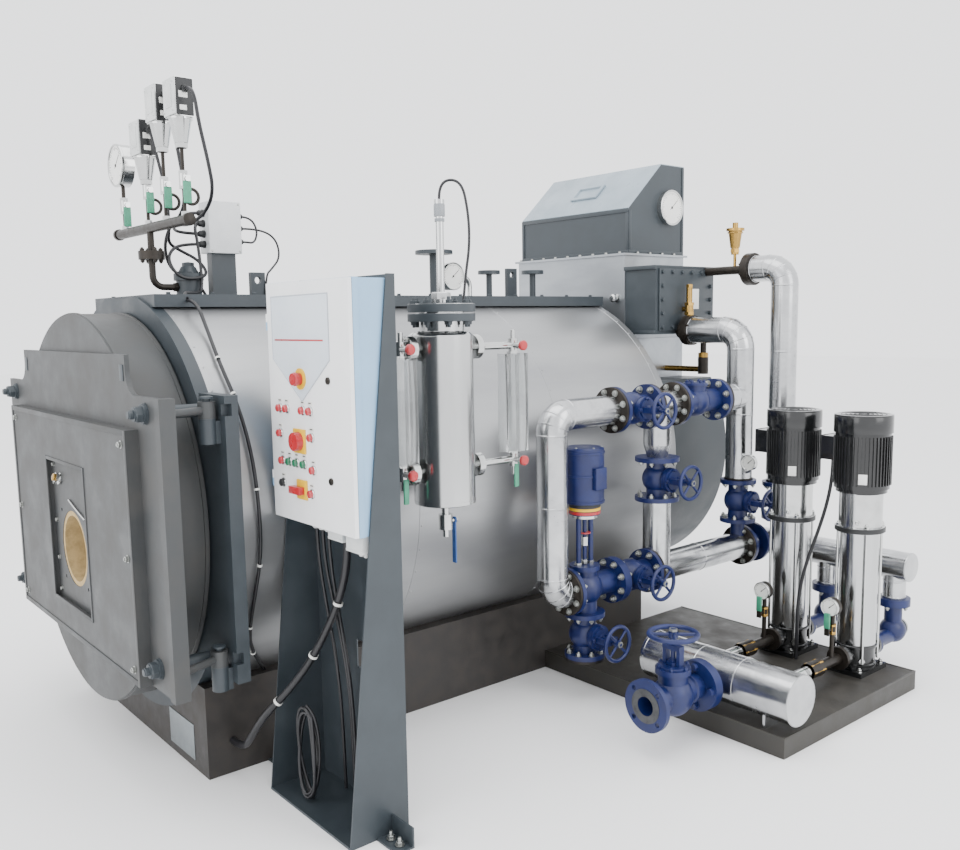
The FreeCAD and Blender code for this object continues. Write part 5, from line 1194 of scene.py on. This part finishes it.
# ---- Main globe valve -----------------------------------------------------------------
# Flanged cast iron globe valve on the header, sprayed blue, with a rising stem, a yoke
# and a spoked handwheel; its open flange has a machined sealing face.
blue_enamel = surface(
    "sprayed blue enamel on cast iron", "#101c4c", "#18275e", 2.2, (0.3, 0.52), 0.16, patch=55.0)
machined = surface(
    "turned steel sealing face", "#5b5c5e", "#454548", 0.9, (0.3, 0.45), 0.05, metallic=0.9, patch=25.0)
painted("main_valve", blue_enamel)
painted("main_valve_wheel", blue_enamel)
face = turned(
    "sealing_face", [(0.0335, 0.004), (0.0335, 0), (0.06, 0), (0.06, 0.002)], (1.42, 0.0945, 0.19),
    to_rear, 64)
fitted(face, machined)
main = [
    bolt_ring("main_bolt", (1.42, 0.368, 0.19), to_door, 0.0725, 4, 0.024, 0.014, straddle_4),
    bolt_ring("bonnet_bolt", (1.42, 0.241, 0.294), up, 0.053, 6, 0.014, 0.009, 0.3, 0.004)]
main.append(turned(
    "header_flange", [(0.047, 0), (0.092, 0), (0.092, 0.018), (0.06, 0.02), (0.047, 0.03)],
    (1.42, 0.3875, 0.19), to_rear, 64))
main.append(turned(
    "stem_gland", [(0, 0), (0.024, 0), (0.024, 0.012), (0.014, 0.014), (0.014, 0.024), (0, 0.024)],
    (1.42, 0.241, 0.302), up, 6))
for s in (-1, 1):
    main.append(turned(
        "body_rib", [(0.0445, 0), (0.052, 0.006), (0.052, 0.012), (0.0445, 0.018)],
        (1.42, 0.241 + s * 0.085 - 0.009, 0.19), to_rear, 48))
group("main_valve_bolts", main, blue_enamel)
hub = turned(
    "wheel_nut", [(0.0095, 0), (0.016, 0), (0.016, 0.008), (0.0095, 0.0085)], (1.42, 0.241, 0.4225), up,
    6)
fitted(hub, zinc, "main_valve_wheel_body")


# ---- Feed pipework --------------------------------------------------------------------
# Insulated feed and outlet pipes clad in rolled aluminium sheet: lobster-back elbows of
# short gores, and straight lengths closed by swaged, riveted laps.
painted("pipe_cladding", clad_sheet)


def seams(name, corners, bend, radius, spacing=0.30):
    """Swaged laps along a clad pipe: at its ends, round each elbow and along the straights."""
    corners = [Vector(c) for c in corners]
    spots = []
    last = corners[0]
    for i in range(1, len(corners)):
        here = corners[i]
        way = (here - corners[i - 1]).normalized()
        stop = here - way * bend if i < len(corners) - 1 else here
        many = max(1, int(round((stop - last).length / spacing)))
        for k in range(many + 1):
            spots.append((last.lerp(stop, k / many), way))
        if i < len(corners) - 1:
            onward = (corners[i + 1] - here).normalized()
            middle = stop + onward * bend
            for k in (1, 2, 3):
                turn = Matrix.Rotation(math.radians(22.5 * k), 4, way.cross(onward))
                spots.append((middle + turn @ (stop - middle), turn @ way))
            last = here + onward * bend
    ring = turned(
        name, [(radius - 0.0006, -0.0045), (radius + 0.0014, -0.002), (radius + 0.0014, 0.002),
            (radius - 0.0006, 0.0045)], (0, 0, 0), up, 48)
    moves = [Matrix.Translation(spot) @ facing(way) for spot, way in spots]
    return copied(ring, moves)


clad_r = 0.06
laps = []
for bend, corners in ((
    0.07, ((0.9, 0.245, 0.45), (0.9, 0.165, 0.45), (0.9, 0.165, 1.14), (0.9, 0.493, 1.14))),
                      (0.085, ((0.641, 1.35, 1.44), (0.9, 1.35, 1.44), (0.9, 1.35, 0.767))),
                      (0.08, ((0.841, 1.54, 1.718), (0.995, 1.54, 1.718), (0.995, 1.54, 0.745))),
                      (0, ((0.845, 1.54, 0.45), (1.62, 1.54, 0.45))),
                          (0, ((0.9, 0.72, 0.45), (0.9, 1.367, 0.45))),
                      (0, ((0.9, 0.72, 1.14), (0.9, 0.875, 1.14)))):
    laps += seams("pipe_lap", corners, bend, clad_r)
laps += seams("pipe_lap", [(0.9, 1.175, 1.14), (0.9, 1.28, 1.14)], 0, clad_r, 0.2)
for px in pumps:
    laps += seams("pipe_lap", [(px, 1.54, 0.315), (px, 1.54, 0.385)], 0, 0.046, 0.2)
rivet = turned("lap_rivet", [(0, 0.0019), (0.0022, 0.0015), (0.0034, 0)], (0, 0, 0), up, 8)
moves = []
for x, y, z0, z1 in ((0.9, 0.165, 0.56, 1.06), (0.9, 1.35, 0.8, 1.34), (0.995, 1.54, 0.78, 1.62)):
    for i in range(int((z1 - z0) / 0.045) + 1):
        moves.append(
            Matrix.Translation((x + 0.0601, y, z0 + i * 0.045)) @ Matrix.Rotation(math.radians(90), 4,
                "Y"))
group("pipe_laps", laps, clad_sheet)
group("lap_rivets", copied(rivet, moves), clad_sheet)
# end collars of the cladding, where it is cut short of each flange
collars = []
for foot, along in (
        ((0.9, 0.231, 0.45), to_rear), ((0.9, 0.489, 1.14), to_rear), ((0.9, 0.871, 1.14), to_rear),
        ((0.9, 1.17, 1.14), to_rear), ((0.9, 1.35, 0.762), up), ((0.995, 1.54, 0.74), up)):
    collars.append(turned(
        "clad_collar", [(0.0602, 0), (0.0635, 0.001), (0.0635, 0.008), (0.0602, 0.009)], foot, along, 48))
group("clad_collars", collars, dark_iron)


# ---- Feed control station -------------------------------------------------------------
# Flanged cast iron globe and check valves sprayed blue, bolted face to face with zinc
# plated studs, and a control valve with its actuator over it and a drain valve under it.
for name in (
        "station_valves", "feed_stop_wheel", "bypass_wheel", "lower_stop_wheel", "feed_riser_wheel",
        "drain_valve_wheel", "control_valve", "control_actuator", "discharge_valves"):
    painted(name, blue_enamel)
painted("economizer_flanges", dark_iron)
painted("header_fittings", brass)
pipe_faces = (
    (0.498, 1.14, -1), (0.715, 1.14, 1), (0.88, 1.14, -1), (1.17, 1.14, 1), (0.715, 0.45, 1),
    (0.24, 0.45, -1), (1.372, 0.45, -1))
studs = []
for y, z, s in pipe_faces:
    studs.append(bolt_ring(
        "flange_stud", (0.9, y - s * 0.018, z), (0, -s, 0), 0.0745, 8, 0.02, 0.012, straddle_8, 0.008))
    studs.append(bolt_ring(
        "flange_stud", (0.9, y + s * 0.014, z), (0, s, 0), 0.0745, 8, 0.018, 0.009, straddle_8, 0.004))
for y, along in ((0.516, to_rear), (0.48, to_door)):
    studs.append(bolt_ring("flange_stud", (0.9, y, 0.45), along, 0.0745, 8, 0.02, 0.012, straddle_8, 0.008))
for x, y, z0, z1, r in (
        (0.9, 0.775, 0.742, 0.926, 0.0745), (0.9, 1.35, 0.566, 0.762, 0.066),
        (0.995, 1.54, 0.566, 0.74, 0.066), (0.9, 0.34, 0.17, 0.354, 0.066)):
    studs.append(bolt_ring("flange_stud", (x, y, z0 + 0.018), up, r, 8, 0.017, 0.01, straddle_8, 0.006))
    studs.append(bolt_ring("flange_stud", (x, y, z1 - 0.018), down, r, 8, 0.017, 0.01, straddle_8, 0.006))
group("flange_studs", studs, zinc)
# counterflanges of the piping, then bonnet rings, their bolts and the gland followers
irons = []
for y, z, s in pipe_faces:
    irons.append(turned(
        "counter_flange", [(0.0605, 0.0005), (0.09, 0.0005), (0.0915, 0.002), (0.0915, 0.012),
            (0.088, 0.014), (0.0605, 0.014)], (0.9, y, z), (0, s, 0), 64))
group("counter_flanges", irons, dark_iron)
ribs = []
for y, z in ((0.6065, 1.14), (0.6065, 0.45), (0.775, 0.834), (1.35, 0.664), (0.34, 0.262)):
    ribs.append(bolt_ring(
        "bonnet_bolt", (0.984, y, z), to_right, 0.042, 4, 0.014, 0.009, straddle_4, 0.004))
    ribs.append(turned(
        "bonnet_ring", [(0.0405, 0), (0.05, 0.003), (0.0515, 0.0075), (0.0515, 0.009), (0.0405, 0.01)],
        (0.956, y, z), to_right, 40))
    ribs.append(turned(
        "gland_follower", [(0, 0), (0.019, 0), (0.019, 0.01), (0.011, 0.012), (0.011, 0.026), (0, 0.026)],
        (0.984, y, z), to_right, 6))
ribs.append(bolt_ring("cover_bolt", (0.9, 1.025, 1.22), up, 0.036, 6, 0.014, 0.009, 0, 0.004))
ribs.append(turned(
    "check_cover", [(0, 0), (0.052, 0), (0.052, 0.012), (0.03, 0.016), (0, 0.016)], (0.9, 1.025, 1.208),
    up, 48))
group("valve_bonnets", ribs, blue_enamel)
for body, y, z in (
        ("feed_stop_wheel_body", 0.6065, 1.14), ("bypass_wheel_body", 0.775, 0.834),
        ("lower_stop_wheel_body", 0.6065, 0.45), ("feed_riser_wheel_body", 1.35, 0.664),
        ("drain_valve_wheel_body", 0.34, 0.262)):
    hub = turned(
        "wheel_nut", [(0.0075, 0), (0.0125, 0), (0.0125, 0.006), (0.0075, 0.0065)], (1.0855, y, z),
        to_right, 6)
    fitted(hub, zinc, body)

# control valve: stem coupling, travel pointer and the banded neck of its actuator


def on_stem(z):
    """A point on the control valve's axis."""
    return (0.900, 0.340, z)


stem = [
    tube("stem_coupling", 0.0082, 0.016, 0.034, on_stem(0.62), up, 6),
    disc("yoke_plate", 0.05, 0.012, on_stem(0.732), up, 48),
    tube("stem_nut", 0.0082, 0.014, 0.018, on_stem(0.545), up, 6)]
for s in (-1, 1):
    stem.append(tube("yoke_nut", 0.0102, 0.016, 0.012, (0.9, 0.34 + s * 0.034, 0.542), up, 6))
group("control_stem_fittings", stem, steel)
red_band = [
    turned(
        "neck_band", [(0.0602, 0), (0.0622, 0.001), (0.0622, 0.011), (0.0602, 0.012)], on_stem(0.748), up,
        56),
    disc("travel_disc", 0.024, 0.004, on_stem(0.668), up, 40)]
group("control_red_bands", red_band, red_mould)
yellow_band = turned(
    "neck_band", [(0.0602, 0), (0.062, 0.001), (0.062, 0.011), (0.0602, 0.012)], on_stem(0.762), up, 56)
fitted(yellow_band, yellow_plate)
black_band = turned(
    "neck_band", [(0.0602, 0), (0.0625, 0.001), (0.0625, 0.012), (0.0602, 0.013)], on_stem(0.776), up, 56)
fitted(black_band, black_mould)
case = [
    turned(
        "actuator_lip", [(0.0762, 0), (0.079, 0.001), (0.079, 0.009), (0.0762, 0.01)], on_stem(z), up, 64)
    for z in (0.792, 0.896, 0.984)]
case.append(turned(
    "actuator_cover", [(0.076, 0), (0.0765, 0.002), (0.071, 0.0075), (0.04, 0.0105), (0, 0.011)],
    on_stem(1.0015), up, 64))
case.append(block("actuator_box", (0.968, 0.31, 0.85), (0.992, 0.37, 0.935), 0.004, 3))
group("actuator_trim", case, blue_enamel)
screws = bolt_ring("actuator_screws", on_stem(1.0065), up, 0.066, 6, 0.009, 0.005)
fitted(screws, zinc)
drain_end = turned(
    "drain_blank", [(0, 0), (0.079, 0), (0.079, 0.012), (0.04, 0.014), (0, 0.014)], on_stem(0.17), down,
    56)
fitted(drain_end, dark_iron)

# header box: flange bolts, brass hexagons and the dark drop pipe
pairs = []
for x, y, z, r, s in (
        (0.6, 1.35, 1.44, 0.056, -1), (0.636, 1.35, 1.44, 0.056, 1), (0.8, 1.54, 1.718, 0.058, -1)):
    pairs.append(bolt_ring("header_stud", (x, y, z), (s, 0, 0), r, 8, 0.014, 0.009, straddle_8, 0.005))
pairs.append(tube("header_gasket", 0.0705, 0.0712, 0.003, (0.6165, 1.35, 1.44), to_right, 64))
group("header_studs", pairs, dark_iron)
hexes = [disc("brass_hex", 0.024, 0.014, (0.602, 1.36, z), up, 6) for z in (1.512, 1.556)]
hexes.append(disc("brass_hex", 0.0165, 0.012, (0.602, 1.36, 1.64), up, 6))
hexes.append(disc("vent_hex", 0.022, 0.016, (0.725, 1.54, 1.8), up, 6))
hexes.append(turned(
    "vent_rib", [(0.0325, 0), (0.036, 0.002), (0.036, 0.006), (0.0325, 0.008)], (0.725, 1.54, 1.888), up,
    40))
group("brass_fittings", hexes, brass)
drop = turned(
    "drop_pipe", [(0, 0), (0.025, 0), (0.025, 0.08), (0.0145, 0.088), (0.0145, 0.19), (0, 0.19)],
    (0.6, 1.475, 1.2275), up, 40)
fitted(drop, dark_iron)
# thermometer on the feed riser, over its lower valve
well = swept("riser_well", [(0.945, 1.33, 0.8), (0.972, 1.322, 0.802), (0.984, 1.318, 0.815)], 0.006)
pot = turned(
    "riser_case", [(0, 0), (0.034, 0), (0.036, 0.002), (0.036, 0.018), (0, 0.018)], (0.985, 1.322, 0.85),
    to_door, 40)
group("riser_thermometer", [well, pot], steel)
dial("riser_dial", (0.985, 1.3038, 0.85), to_door, 0.036)
# pumps' outlet valves: bonnet bolts and flange studs
outlets = []
for px in pumps:
    outlets.append(bolt_ring(
        "outlet_stud", (px, 1.377, 0.148), to_rear, 0.036, 4, 0.014, 0.009, straddle_4, 0.004))
    outlets.append(bolt_ring(
        "outlet_stud", (px, 1.54, 0.278), down, 0.052, 4, 0.016, 0.01, straddle_4, 0.006))
    outlets.append(turned(
        "outlet_cap", [(0, 0), (0.04, 0), (0.04, 0.01), (0.026, 0.014), (0, 0.014)], (px, 1.587, 0.168),
        to_rear, 40))
group("outlet_studs", outlets, zinc)
